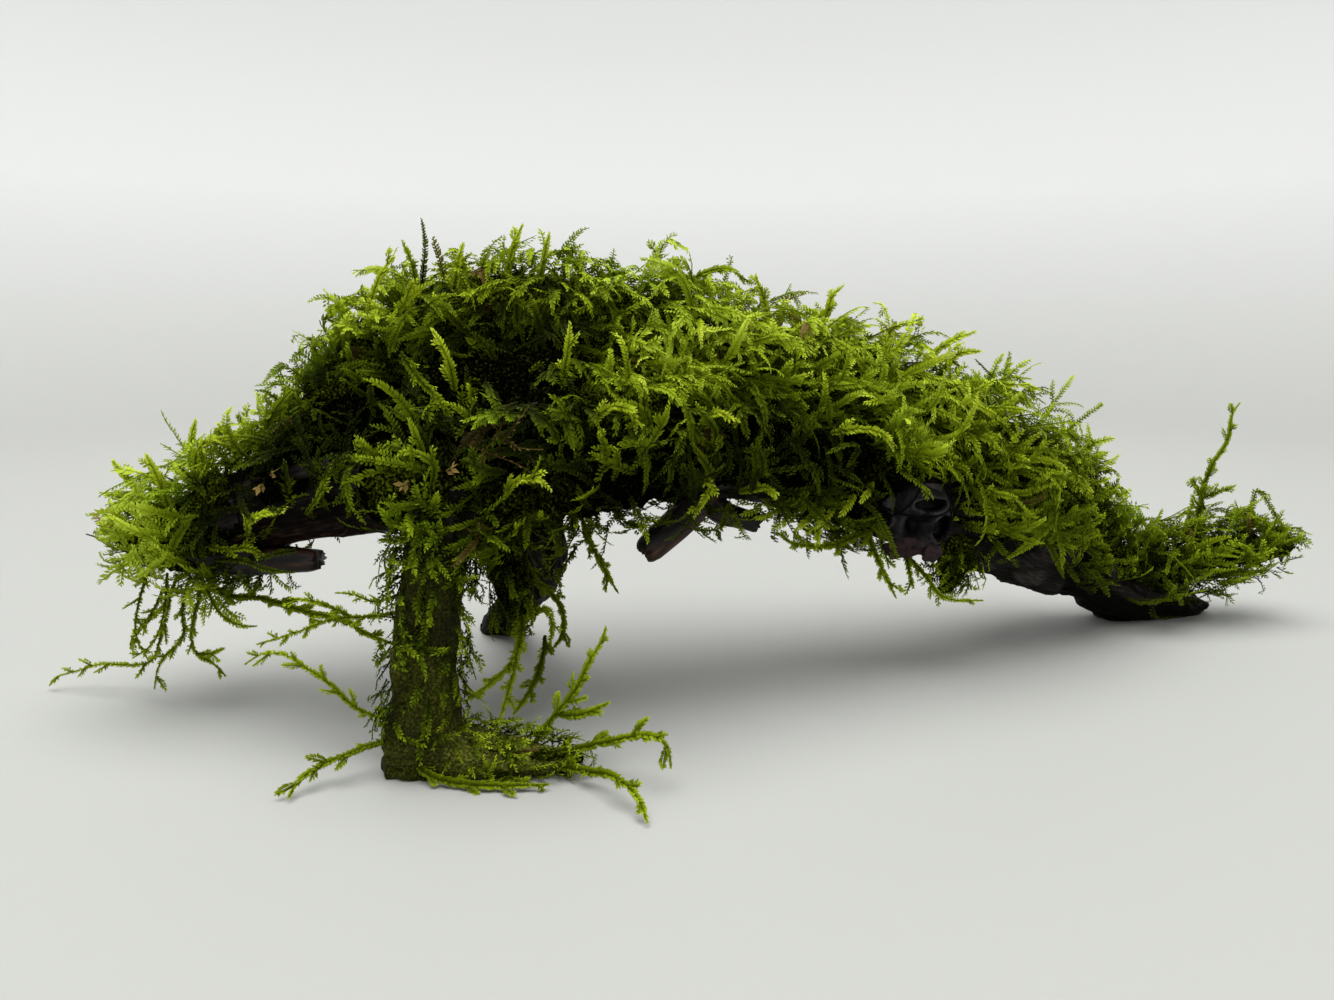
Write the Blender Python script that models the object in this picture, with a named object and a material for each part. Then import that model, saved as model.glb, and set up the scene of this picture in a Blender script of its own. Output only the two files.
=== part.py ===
"""Java moss on driftwood: a branching piece of dead wood on three roots, grown over with moss.

The wood is split at its main forks. Each moss cushion is one closed form that reaches the tips of its
shoots, and the longest shoots that stand or trail out of the cushions are pieces of their own.
Frame: +X along the piece, +Z up, origin on the floor under the middle of the whole object.
Routes are written in millimetres, as they would be measured on the piece, and built in metres.
"""
import math
import random

import bmesh
import bpy
from mathutils import Vector, noise

MM = 0.001

# Driving dimensions, millimetres
GAP = 0.35                  # left between pieces that touch
WOOD_SPACING = 7.5          # between the rings of a limb
SHORT_LIMB = 14.5           # a limb shorter than this has its rings twice as close
WOOD_SIDES = 8
WOOD_RIDGE = 0.13           # ridges and hollows, as a share of the limb's thickness
RIDGES = 3                  # long ridges round a limb
RIDGE_TWIST = 0.3           # radians that they turn from one ring to the next
LUMP_SIZE = 1.3             # lumps round a section: more makes them narrower
LUMPS_APART = 7.3           # sets one limb's lumps apart from another's
LUMP_SHARE = 1.6            # of the lumps beside the ridges
RIDGE_SHARE = 0.5
MOSS_SPACING = 6.8          # between the rings of a cushion: about one tuft
MOSS_SIDES = 12
HULL_SIDES = 7              # of the plain form that a cushion's neighbours keep clear of
CUSHION_SHARE = 0.74        # of a cut cushion's triangles that is kept
TUFT_OUT = 1.8              # the most that a tuft stands out of the cushion's outline
TUFT_IN = 2.6               # the most that the hollows between tufts go in
TUFT_LEAN = 1.3             # the most that a tuft leans along its limb
LEAST_OUT = 0.15            # the least of either, as a share of the most
LEAST_IN = 0.3
BUSHY = 6                   # half width from which a cushion has full tufts
SHOOT_HALF_WIDTH = 1.1      # a leafy shoot is a flat feather about 2.2 wide
SHOOT_HALF_THICKNESS = 0.5
SHOOT_SPACING = 7.0
SHOOT_ROOT = 0.25           # how far along its swelling a shoot starts, as a share of it
SHOOT_SLIM = 0.45           # the slimmest part before the tip, as a share of the widest
SHOOT_TIP = 0.3
THREAD_RADIUS = 0.25
THREAD_SLOT = 1.15          # the cushions are pinched apart by this much where a thread is tied
THREAD_LIFT = 0.65          # from the wood to the middle of the thread
CURVE_STEPS = 12            # points read between two points of a route
FINE_SPACING = 0.25         # of the points from which a run is divided
SPECK = 0.002               # edges shorter than this are cutting noise
PINHOLE_SIDES = 6           # a hole of up to this many edges is closed
SHARP = math.radians(50)    # edges that turn more than this stay sharp

# Directions that a section's height keeps to
UP = Vector((0, 0, 1))
BACK = Vector((0, 1, 0))
RIGHT = Vector((1, 0, 0))
SHOOT_FACE = Vector((0.13, 0.92, 0.37))  # the flat side that shoots turn to the light

# The wood: x, y, z, half width, half height
LIMBS = {
    "arch": (UP, [
        (-51, -23, 37.5, 3, 3), (-47, -22, 39, 6.8, 6.8), (-38, -18.5, 42, 7.8, 7.8),
        (-27, -13, 43, 7.6, 7.6), (-14, -6.5, 42.2, 7.2, 7.2), (0, 0.5, 40.5, 7.2, 7.2),
        (14, 6, 38, 7.8, 7.8), (26, 10.5, 35, 8.6, 9), (38, 16, 31.5, 9.2, 10.2),
        (48, 21, 27.5, 9.4, 10.4), (58, 26, 22.5, 9, 9.6), (68, 31, 16.5, 8.2, 8.2),
        (77, 35, 11, 6, 6), (79, 35.8, 10, 3.4, 3.4)]),
    "left_limb": (UP, [
        (-42, -17, 39.5, 6, 7), (-52, -12.5, 38.5, 6.8, 7.6), (-62, -9.5, 37, 7.2, 8),
        (-72, -8, 35, 7.2, 7.4), (-82, -7, 31.5, 6.6, 6.6), (-90, -6.5, 28.6, 5.4, 5),
        (-97, -6.5, 27, 3.4, 3), (-100, -6.5, 26.6, 1.2, 1)]),
    "crown_limb": (UP, [
        (-76, -5.5, 35, 4.2, 4), (-72, -4, 38.5, 4.4, 4.4), (-65, -2, 46, 4.6, 4.6),
        (-57, 0, 54, 4.8, 4.8), (-47, 3, 60, 5.2, 5.2), (-34, 5, 62.5, 5.4, 5.4),
        (-17, 6, 60, 5.2, 5.2), (0, 8, 54, 5, 5), (16, 11, 46.5, 4.8, 4.8),
        (27, 14, 38.5, 4.6, 4.6), (31, 14.5, 34, 4, 4)]),
    "front_leg": (BACK, [
        (-45, -21, 41, 5, 5), (-45.8, -25, 34, 4.7, 4.6), (-46.8, -28, 24, 4.4, 4.2),
        (-47.5, -30.5, 12, 4.7, 4.4), (-48, -31.5, 4, 5.8, 5), (-48, -31.5, -2, 6.2, 5.2)]),
    "front_toe": (UP, [
        (-48, -31.5, 4, 3.6, 4), (-41, -32.5, 2.8, 3.7, 3.4), (-34, -33, 2.2, 3.3, 2.8),
        (-28.5, -33, 1.8, 2.6, 2.2), (-26, -33, 1.5, 1, 1)]),
    "back_leg": (RIGHT, [
        (-35.5, -8, 40, 4.6, 4.6), (-34.5, -1, 31, 4.4, 4.2), (-34.5, 6, 21.5, 3.9, 3.8),
        (-38, 15, 13.3, 3.3, 3.3), (-43, 24, 6.5, 3.2, 3.4), (-46.5, 30, 2, 3.4, 4.2),
        (-49, 34, -1.5, 3.2, 4)]),
    "right_foot": (UP, [
        (72, 33.5, 12, 5.5, 5.5), (80, 37.5, 7, 6.2, 6.4), (88, 41, 4.6, 6.4, 5.8),
        (96, 43.3, 2.8, 5.6, 4.6), (103, 44, 1.8, 4.2, 3.2), (107, 44, 1.2, 1.6, 1.4)]),
    "left_splinter": (UP, [
        (-91, -7.5, 26.2, 2.4, 1.6), (-84, -9.5, 24.4, 3.2, 1.5), (-76, -10.8, 24.3, 3.2, 1.3),
        (-69, -11.8, 24.9, 2.6, 1.1), (-67, -12, 25.2, 1, 0.6)]),
    "stub_long": (RIGHT, [
        (-5.5, -1.8, 36.5, 2.8, 2.8), (-9, -3.2, 32, 2.8, 2.8), (-12.5, -4.2, 28.8, 2.7, 2.7),
        (-15.4, -5, 26.2, 2.5, 2.5), (-16.3, -5.3, 25.4, 1.5, 1.5)]),
    "stub_short": (UP, [
        (-7.5, -0.5, 36, 2.6, 2.6), (-3.5, -0.5, 31.8, 2.3, 2.2), (0.2, -0.6, 30.2, 1.9, 1.7),
        (3.4, -0.8, 29.2, 0.7, 0.6)]),
    "knot": (UP, [
        (32.5, 11, 32.5, 5.8, 6.4), (31.2, 5.5, 30.2, 6.2, 6.9), (30.7, 2.4, 28.8, 5.4, 6),
        (30.4, 0.6, 28.2, 2.6, 3.2)]),
}
BARK = ["arch", "left_limb", "crown_limb", "front_leg", "front_toe", "back_leg", "right_foot"]

# Moss: where it runs along the wood, x, y, z, half width, half height of the cushion's outline, with the
# names of the cushions in it and the x of each thread that pinches them apart
MOSS_RUNS = [
    (UP, ["moss_left_tip", "moss_left_limb"], [-78], [
        (-105, -6.5, 28, 1.5, 1.5), (-102, -6.5, 28, 5, 5), (-96, -7, 27.8, 9, 9),
        (-89, -7, 29.5, 10.5, 11.5), (-81, -7.2, 33, 11, 12), (-74, -7.5, 38, 10.8, 9),
        (-64, -9, 41, 10.4, 9), (-55, -11.5, 42, 9.6, 9)]),
    (UP, ["moss_crown_left", "moss_crown_top", "moss_crown_right", "moss_slope"], [-56, -6, 39.5], [
        (-75, -4, 39, 6, 4.5), (-72, -3.6, 42, 8.6, 7), (-66, -3, 48, 10.2, 9),
        (-60, -1.5, 54, 11, 10.2), (-52, 1, 60, 11.5, 11), (-43, 3.5, 62.5, 12, 11.2),
        (-30, 5, 62.5, 12, 11), (-15, 6, 59.5, 12, 11), (0, 8, 55.5, 12, 11),
        (14, 10, 51, 12.5, 11), (26, 13, 47, 12.5, 11.5), (38, 16.5, 40.5, 12.5, 13),
        (48, 21, 34, 12.5, 14.6), (58, 26, 28.6, 12, 14), (68, 30.5, 23, 11, 12.6),
        (75, 33.5, 17, 9.5, 9), (77.5, 34.5, 15, 5, 5)]),
    (UP, ["moss_arch_left", "moss_arch_right"], [-9], [
        (-56.5, -21.5, 39, 4, 5), (-52.5, -22, 40, 8.6, 9.5), (-44, -20.5, 42, 11, 12.6),
        (-34, -17, 43, 12, 13.5), (-24, -12, 43.5, 12, 12.6), (-12, -6, 43.5, 11.5, 11.5),
        (0, -0.5, 42.5, 11.5, 10.2), (12, 4, 39.5, 12, 10.5), (22, 8, 36, 12.4, 11.5),
        (29, 10.3, 34, 12, 10.8)]),
    (BACK, ["moss_leg"], [], [
        (-45.4, -23.5, 36.5, 8, 7), (-46.2, -26.5, 28, 6.9, 6.6), (-47, -29, 19, 6.3, 6),
        (-47.6, -30.6, 11, 6.4, 5.8), (-47.9, -31.4, 6.5, 6.4, 5.6)]),
    (UP, ["moss_toe"], [], [
        (-42.5, -32.8, 3.6, 4.8, 4), (-36, -33.2, 3, 4.6, 3.6), (-29, -33.4, 2.6, 3.8, 3.2),
        (-24.5, -33.4, 2.1, 1.5, 1.4)]),
    (UP, ["moss_right_foot"], [], [
        (79, 36, 14, 8.5, 7.4), (87, 38.6, 12.5, 8.2, 7.4), (96, 39.6, 12.6, 7.8, 7.4),
        (104, 40, 14.5, 7.4, 8.4), (112, 39.8, 15, 6.2, 7.8), (118, 39.6, 15.5, 4, 4.4),
        (120.5, 39.5, 16, 1, 1.2)]),
    (BACK, ["moss_knot_tuft"], [], [
        (40.5, 9, 25, 4.4, 4), (39.6, 8.6, 21, 5.6, 4.6), (38.8, 8.2, 17.4, 4.4, 3.6),
        (38.4, 8, 14.8, 1.3, 1.1)]),
    (BACK, ["moss_behind_leg"], [], [
        (-39.5, -13, 31, 5.6, 5.6), (-38.6, -10.5, 25, 5.8, 5.2), (-37.6, -8.6, 18.5, 4.4, 4.2),
        (-37.2, -7.6, 13.6, 1.6, 1.6)]),
]

# Threads: the limb, and the x at which each winding lies
THREADS = {
    "thread_left": ("left_limb", -78), "thread_crown_left": ("crown_limb", -56),
    "thread_crown_right": ("crown_limb", -6), "thread_arch": ("arch", -9),
    "thread_knot": ("arch", 39.5),
}

# Long shoots: the stem from its root to its tip, then any side shoots
SHOOTS = {
    "trailing_left": [[(-93.5, -7, 22), (-94.8, -7, 19.3), (-96, -7, 15.2), (-97.8, -6, 11.2),
                       (-100, -5, 6.9), (-103.9, -4, 5.5), (-110, -3, 5.3), (-115.4, -2, 3.6),
                       (-118.9, -2, 2.5), (-120.4, -1.6, 0.9)]],
    "trailing_left_inner": [[(-91.5, -8, 21), (-92.6, -8.2, 16.5), (-92.4, -9, 12.2), (-94.7, -9.4, 9.9),
                             (-96.8, -9.4, 7.4), (-97.9, -9.4, 3.4)]],
    "hanging_left": [[(-88.5, -8.6, 22), (-89.7, -9.6, 17), (-90.4, -10.6, 13), (-89.6, -11, 10),
                      (-86.9, -11, 8.3), (-85.2, -11, 6.2)],
                     [(-89.7, -11, 10), (-87, -12.2, 10.4), (-84.1, -13, 11.7)]],
    "hanging_left_outer": [[(-96.4, -6, 20), (-98.6, -5.6, 16), (-101.2, -5, 13), (-102.9, -5, 11.2),
                            (-103.7, -5, 8.8)]],
    "under_limb_long": [[(-87, -9.4, 22), (-84.6, -10, 19.7), (-78.9, -11, 19.6), (-73.8, -13, 19),
                         (-69.5, -15, 18.4), (-62.5, -19, 18.4), (-57.6, -23, 17.4), (-52, -27, 17)]],
    "leg_left_upper": [[(-50, -27, 22.4), (-55.7, -25, 20.9), (-62.8, -22.4, 19.6), (-69.7, -20, 16.6),
                        (-76.5, -18, 14.1)],
                       [(-60, -23.4, 20.4), (-64, -24, 22.6), (-68.4, -24, 23.4)]],
    "leg_left_lower": [[(-51, -29.6, 6.4), (-55.6, -29, 7), (-59.1, -28, 8.3), (-62.1, -27, 10.9),
                        (-65.8, -26, 13), (-69.6, -25, 15), (-73.2, -24.4, 14.8), (-76, -24, 13)]],
    "foot_left": [[(-50, -32.6, 4.6), (-53.3, -34, 5.1), (-56.7, -36, 4.5), (-59.5, -37, 3.7), (-61.8, -38.5, 2.9),
                   (-63.2, -40, 1.9), (-63.6, -42, 0.9)]],
    "foot_right_arching": [[(-29, -32.4, 1.9), (-24.9, -34, 4.2), (-21.2, -36, 6), (-16.2, -38, 8),
                            (-13.7, -39, 8), (-12.4, -39, 6.5), (-12, -39.2, 4)]],
    "foot_right_low": [[(-28.6, -34, 1.6), (-23.2, -38, 2.6), (-20.2, -41, 3.6), (-17.4, -44, 3.2),
                        (-15.8, -46.4, 2.1), (-15.1, -48.6, 0.9)]],
    "foot_right_upright": [[(-32, -33, 3.6), (-28.6, -32, 8.3), (-25.7, -31, 11.7), (-23.6, -30, 15.9),
                            (-22.2, -29, 17.8), (-21.4, -28, 20)],
                           [(-28.4, -32, 8.6), (-24.9, -33, 8.8), (-20.8, -34, 11)]],
    "foot_front": [[(-49, -35, 3), (-45.2, -37.2, 1.4), (-40, -38.6, 1), (-34.5, -39, 1), (-29, -38.8, 1)]],
    "curl_behind_leg": [[(-36.6, -3, 24), (-34.9, -2, 20), (-32.2, -2, 17.5), (-30.3, -3, 14.6),
                         (-30.3, -5, 11.2), (-31.6, -7, 9.6)]],
    "stem_behind_leg": [[(-36, -8, 19), (-36.6, -10, 13.4), (-37.4, -13, 9.6), (-40.4, -18, 7.6),
                         (-43.6, -22.4, 6.4)]],
    "strand_behind_leg": [[(-33, -6.4, 11.6), (-33, -9, 9.2), (-33.6, -13, 7), (-34.8, -18.4, 5.4),
                           (-35.9, -23.6, 4.9)]],
    "hanging_under_arch": [[(-26.6, -6, 32), (-25.3, -6, 27.7), (-24, -6, 25.2), (-22.3, -6.4, 22),
                            (-20.7, -6.4, 19.1)]],
    "under_arch": [[(29, 6, 27), (25, 5, 28), (21.2, 3, 26.8), (15.3, -1, 25.8), (9.1, -3, 26.6),
                    (6.1, -2.4, 28.4)]],
    "knot_hanging": [[(22, 5, 29), (22.7, 4, 26.5), (24.1, 3, 23.1), (25.6, 2, 19.8), (27.4, 1, 16.1)]],
    "knot_trailing": [[(30.6, 7, 24), (31, 7, 21.6), (33.4, 5, 19), (36.4, 3, 15.4), (43.7, 4, 14.6)]],
    "right_upright": [[(97.8, 37, 19), (98, 36, 26), (98.5, 36, 30.7), (99.8, 36, 34.5), (102.7, 37, 38.9),
                       (103, 37, 44), (104.9, 38, 46.4)],
                      [(98.2, 36, 27), (96.6, 35, 29), (94.8, 35, 31)],
                      [(98.6, 36, 27), (101.6, 35.6, 28.6), (104.4, 35.6, 29.6)]],
    "right_tip": [[(108, 38.5, 21), (112.6, 38.6, 20.6), (117, 39, 19.2), (120.4, 39, 17.2)]],
    "crown_tall_left": [[(-59.4, -2, 57), (-59.8, -4.6, 61), (-59.7, -6, 64.4), (-58.9, -6, 67.8),
                         (-57, -7, 71.2), (-55.1, -7, 73.4)]],
    "crown_thin": [[(-52.6, -1, 66), (-51.8, -2, 71), (-51.2, -2, 75.6), (-51.6, -2, 79.4)]],
    "crown_tip": [[(-39.4, 2, 68), (-38.2, 0, 72.6), (-37, -1, 76), (-35.8, -1, 78.6)]],
    "crown_arching": [[(-14, 5, 64), (-11.2, 3, 68), (-8.2, 2, 70.4), (-5.1, 1, 71.8), (-1.8, 0, 71.8),
                       (0.1, 0, 69.6)]],
    "crown_stout": [[(6.4, 7, 58), (5.2, 6, 62.6), (4, 5, 66.4), (2.4, 5, 70.9)]],
    "crown_right_curl": [[(14, 10, 57), (14.4, 9, 62), (15.2, 8, 65.4), (15.9, 8, 67.8), (17.6, 8, 69.3)]],
    "slope_flag": [[(31, 14, 50), (33.4, 12.4, 55.6), (36.4, 11, 59.4), (41.6, 11, 61.5)]],
    "slope_long_dark": [[(58, 24, 38), (54.6, 21.6, 45.4), (50.6, 19, 50), (47, 17.4, 53.4), (43.9, 17, 56.3)]],
    "left_upright": [[(-88.4, -8, 36), (-88.2, -9.4, 41), (-87.8, -10, 45), (-86.8, -10, 48.2)]],
    "left_twig": [[(-96, -6.2, 27.4), (-101, -6, 27), (-104.8, -6, 27.9), (-108.4, -6, 29)]],
}


def clear_scene():
    for thing in list(bpy.data.objects):
        bpy.data.objects.remove(thing)


def material(name, colour, roughness):
    finish = bpy.data.materials.new(name)
    finish.use_nodes = True
    shader = finish.node_tree.nodes["Principled BSDF"]
    shader.inputs["Base Color"].default_value = (*colour, 1.0)
    shader.inputs["Roughness"].default_value = roughness
    shader.inputs["Metallic"].default_value = 0.0
    return finish


def smooth_route(knots, spacing):
    """Points about `spacing` apart on a smooth curve through the knots, with their widths blended."""
    knots = [tuple(float(v) for v in knot) for knot in knots]
    ends = [knots[0]] + knots + [knots[-1]]
    fine = []
    for a, b, c, d in zip(ends, ends[1:], ends[2:], ends[3:]):
        for step in range(CURVE_STEPS):
            t = step / CURVE_STEPS
            fine.append([0.5 * (2 * q + (r - p) * t + (2 * p - 5 * q + 4 * r - s) * t * t
                                + (3 * q - p - 3 * r + s) * t ** 3)
                         for p, q, r, s in zip(a, b, c, d)])
    fine.append(list(knots[-1]))
    travelled = [0.0]
    for here, there in zip(fine, fine[1:]):
        travelled.append(travelled[-1] + (Vector(there[:3]) - Vector(here[:3])).length)
    count = max(2, round(travelled[-1] / spacing))
    route = []
    at = 0
    for i in range(count + 1):
        goal = travelled[-1] * i / count
        while at < len(fine) - 2 and travelled[at + 1] < goal:
            at += 1
        share = (goal - travelled[at]) / (travelled[at + 1] - travelled[at])
        route.append([p + (q - p) * share for p, q in zip(fine[at], fine[at + 1])])
    return route


def section_frames(route, top):
    """The sideways and the height direction of the section at each point of a route, never turned over."""
    places = [Vector(point[:3]) for point in route]
    frames = []
    for i in range(len(places)):
        along = places[min(i + 1, len(places) - 1)] - places[max(i - 1, 0)]
        side = along.cross(top).normalized()
        if frames and side.dot(frames[-1][0]) < 0:
            side = -side
        frames.append((side, side.cross(along).normalized()))
    return frames


def loft(rings):
    """A closed skin over rings of equal length, each end closed with a fan; in metres, above the floor."""
    mesh = bmesh.new()
    loops = [[mesh.verts.new(point * MM) for point in ring] for ring in rings]
    for here, there in zip(loops, loops[1:]):
        for i in range(len(here)):
            j = (i + 1) % len(here)
            mesh.faces.new((here[i], here[j], there[j], there[i]))
    for loop, ring in ((loops[0], rings[0]), (loops[-1], rings[-1])):
        middle = mesh.verts.new(sum(ring, Vector()) / len(ring) * MM)
        for i in range(len(loop)):
            mesh.faces.new((middle, loop[i], loop[(i + 1) % len(loop)]))
    bmesh.ops.recalc_face_normals(mesh, faces=mesh.faces)
    bmesh.ops.triangulate(mesh, faces=mesh.faces)
    return mesh


def stand_flat(mesh, floor=0.0):
    """Cut off what would reach below the floor, and close the cut with one flat face."""
    if min(vert.co.z for vert in mesh.verts) >= floor:
        return
    everything = mesh.verts[:] + mesh.edges[:] + mesh.faces[:]
    bmesh.ops.bisect_plane(mesh, geom=everything, plane_co=(0, 0, floor), plane_no=(0, 0, 1), clear_inner=True)
    rim = [edge for edge in mesh.edges if edge.is_boundary]
    bmesh.ops.edgeloop_fill(mesh, edges=rim)
    bmesh.ops.recalc_face_normals(mesh, faces=mesh.faces)


def limb_ring(name, route, frames, i, grow):
    """One section of a limb: an oval with ridges that run along the grain."""
    x, y, z, half_width, half_height = route[i]
    side, top = frames[i]
    own_lumps = Vector((len(name) * LUMPS_APART, ord(name[0]), ord(name[-1])))
    ring = []
    for k in range(WOOD_SIDES):
        angle = math.tau * k / WOOD_SIDES
        turn = RIDGE_TWIST * i
        out = Vector((math.cos(angle) * LUMP_SIZE, math.sin(angle) * LUMP_SIZE, turn))
        lumps = LUMP_SHARE * noise.noise(out + own_lumps)
        swell = 1 + WOOD_RIDGE * (lumps + RIDGE_SHARE * math.cos(RIDGES * angle + turn))
        point = side * (math.cos(angle) * (half_width * swell + grow))
        point += top * (math.sin(angle) * (half_height * swell + grow))
        ring.append(Vector((x, y, z)) + point)
    return ring


def limb_route(knots):
    length = sum((Vector(b[:3]) - Vector(a[:3])).length for a, b in zip(knots, knots[1:]))
    return smooth_route(knots, WOOD_SPACING if length > SHORT_LIMB else WOOD_SPACING / 2)


def limb_shape(name, grow=0.0):
    top, knots = LIMBS[name]
    route = limb_route(knots)
    frames = section_frames(route, top)
    mesh = loft([limb_ring(name, route, frames, i, grow) for i in range(len(route))])
    stand_flat(mesh, -grow * MM)
    return mesh


def cushion_shape(route, frames, seed, grow=0.0):
    """A cushion along its run: an oval section whose surface is drawn out into tufts."""
    wild = random.Random(seed)
    rings = []
    for i, (x, y, z, half_width, half_height) in enumerate(route):
        side, top = frames[i]
        ring = []
        for k in range(MOSS_SIDES):
            angle = math.tau * (k + 0.5 * (i % 2)) / MOSS_SIDES
            stands_out = (i + k) % 2 == 0
            if stands_out:
                reach = TUFT_OUT * wild.uniform(LEAST_OUT, 1)
            else:
                reach = -TUFT_IN * wild.uniform(LEAST_IN, 1)
            reach *= min(1.0, half_width / BUSHY)
            point = side * (math.cos(angle) * (half_width + reach + grow))
            point += top * (math.sin(angle) * (half_height + reach + grow))
            lean = TUFT_LEAN * wild.uniform(-1, 1) if 0 < i < len(route) - 1 else 0
            ring.append(Vector((x, y, z)) + point + top.cross(side) * lean)
        rings.append(ring)
    mesh = loft(rings)
    stand_flat(mesh, -grow * MM)
    return mesh


def cushion_hull(route, frames):
    """The room that a cushion takes from its neighbours: a plain form just outside its tufts."""
    outside = TUFT_OUT + GAP
    corner = 1 / math.cos(math.pi / HULL_SIDES)
    rings = []
    for i, (x, y, z, half_width, half_height) in enumerate(route):
        side, top = frames[i]
        ring = []
        for k in range(HULL_SIDES):
            angle = math.tau * k / HULL_SIDES
            point = side * (math.cos(angle) * (half_width + outside) * corner)
            point += top * (math.sin(angle) * (half_height + outside) * corner)
            ring.append(Vector((x, y, z)) + point)
        rings.append(ring)
    for ring, here, there in ((rings[0], route[0], route[1]), (rings[-1], route[-1], route[-2])):
        outwards = (Vector(here[:3]) - Vector(there[:3])).normalized() * GAP
        for point in ring:
            point += outwards
    return loft(rings)


def shoot_shape(knots, grow=0.0):
    """A shoot: a flat feather that is widest near its root and runs out to its tip."""
    route = smooth_route(knots, SHOOT_SPACING)
    frames = section_frames(route, SHOOT_FACE)
    last = len(route) - 1
    rings = []
    for i, (place, (side, top)) in enumerate(zip(route, frames)):
        swelling = math.sin(math.pi * min(1, SHOOT_ROOT + i / last))
        taper = SHOOT_TIP if i == last else SHOOT_SLIM + (1 - SHOOT_SLIM) * swelling
        across = side * (SHOOT_HALF_WIDTH * taper + grow)
        through = top * (SHOOT_HALF_THICKNESS * taper + grow)
        centre = Vector(place)
        rings.append([centre + across, centre + through, centre - across, centre - through])
    mesh = loft(rings)
    stand_flat(mesh, -grow * MM)
    return mesh


def thread_shape(limb, at_x, grow=0.0):
    """One winding: a thin closed ring that follows the limb's section."""
    top, knots = LIMBS[limb]
    route = limb_route(knots)
    frames = section_frames(route, top)
    nearest = min(range(len(route)), key=lambda n: abs(route[n][0] - at_x))
    shift = Vector((at_x - route[nearest][0], 0, 0))
    middle = [point + shift for point in limb_ring(limb, route, frames, nearest, THREAD_LIFT)]
    centre = sum(middle, Vector()) / len(middle)
    side, height = frames[nearest]
    along = side.cross(height).normalized()
    radius = THREAD_RADIUS + grow
    mesh = bmesh.new()
    loops = []
    for point in middle:
        out = (point - centre).normalized()
        corners = [out * radius, along * radius, out * -radius, along * -radius]
        loops.append([mesh.verts.new((point + corner) * MM) for corner in corners])
    for here, there in zip(loops, loops[1:] + loops[:1]):
        for k in range(len(here)):
            j = (k + 1) % len(here)
            mesh.faces.new((here[k], here[j], there[j], there[k]))
    bmesh.ops.recalc_face_normals(mesh, faces=mesh.faces)
    bmesh.ops.triangulate(mesh, faces=mesh.faces)
    return mesh


def new_object(name, mesh, finish=None):
    data = bpy.data.meshes.new(name)
    mesh.to_mesh(data)
    mesh.free()
    thing = bpy.data.objects.new(name, data)
    bpy.context.scene.collection.objects.link(thing)
    if finish:
        data.materials.append(finish)
    return thing


def box_of(thing):
    corners = [thing.matrix_world @ vert.co for vert in thing.data.vertices]
    low = Vector([min(c[k] for c in corners) for k in range(3)])
    high = Vector([max(c[k] for c in corners) for k in range(3)])
    return low, high


def boxes_meet(one, other):
    return all(one[0][k] < other[1][k] and other[0][k] < one[1][k] for k in range(3))


def volume_of(faces):
    """The volume inside a closed patch of triangles."""
    return abs(sum(f.verts[0].co.dot(f.verts[1].co.cross(f.verts[2].co)) for f in faces)) / 6


def closed_parts(mesh):
    """The faces of each part of a mesh that hangs together, in the order of their numbers."""
    parts = []
    seen = set()
    for first in mesh.faces:
        if first.index in seen:
            continue
        seen.add(first.index)
        part = [first]
        for face in part:
            for edge in face.edges:
                for neighbour in edge.link_faces:
                    if neighbour.index not in seen:
                        seen.add(neighbour.index)
                        part.append(neighbour)
        parts.append(part)
    return parts


def keep_largest(thing):
    """A cut can leave crumbs beside the piece: only the largest closed part of its mesh stays."""
    mesh = bmesh.new()
    mesh.from_mesh(thing.data)
    bmesh.ops.triangulate(mesh, faces=mesh.faces)
    mesh.faces.index_update()
    parts = closed_parts(mesh)
    largest = max(parts, key=volume_of)
    crumbs = [face for part in parts if part is not largest for face in part]
    bmesh.ops.delete(mesh, geom=crumbs, context="FACES")
    pinholes = [edge for edge in mesh.edges if edge.is_boundary]
    bmesh.ops.holes_fill(mesh, edges=pinholes, sides=PINHOLE_SIDES)
    bmesh.ops.dissolve_degenerate(mesh, dist=SPECK * MM, edges=mesh.edges)
    bmesh.ops.triangulate(mesh, faces=mesh.faces)
    mesh.to_mesh(thing.data)
    mesh.free()


def apply_step(thing, step):
    """Keep what a modifier makes as the object's own mesh."""
    seen = thing.evaluated_get(bpy.context.evaluated_depsgraph_get())
    result = bpy.data.meshes.new_from_object(seen)
    thing.modifiers.remove(step)
    thing.data = result


def boolean(thing, other, operation):
    """Join or cut two closed meshes, and keep the result as the first one's mesh."""
    step = thing.modifiers.new(operation.lower(), "BOOLEAN")
    step.operation = operation
    step.object = other
    apply_step(thing, step)


def simplify(thing, share):
    """Take out the slivers that cuts leave: this share of the triangles stays."""
    step = thing.modifiers.new("simplify", "DECIMATE")
    step.ratio = share
    apply_step(thing, step)
    keep_largest(thing)


clearances = []
hulls = []


def guide(name, mesh):
    """A form that only cuts others clear of a piece."""
    cutter = new_object(name, mesh)
    cutter.hide_render = True
    cutter.display_type = "WIRE"
    return cutter


def cut_clear(piece, cutters):
    box = box_of(piece)
    for cutter in cutters:
        if boxes_meet(box, box_of(cutter)):
            boolean(piece, cutter, "DIFFERENCE")
            keep_largest(piece)
            box = box_of(piece)


def shade_round(piece):
    piece.data.shade_smooth()
    piece.data.set_sharp_from_angle(angle=SHARP)
    piece.data.name = piece.name


def place(name, shape, finish, sides=()):
    """Make a piece, cut it clear of all that stands already, and remember its own clearance."""
    piece = new_object(name, shape(0.0), finish)
    for side in sides:
        branch = new_object("branch", side(0.0), finish)
        boolean(piece, branch, "UNION")
        bpy.data.objects.remove(branch)
    cut_clear(piece, clearances)
    shade_round(piece)
    for part in (shape, *sides):
        clearances.append(guide(name + "_clearance", part(GAP)))


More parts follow.
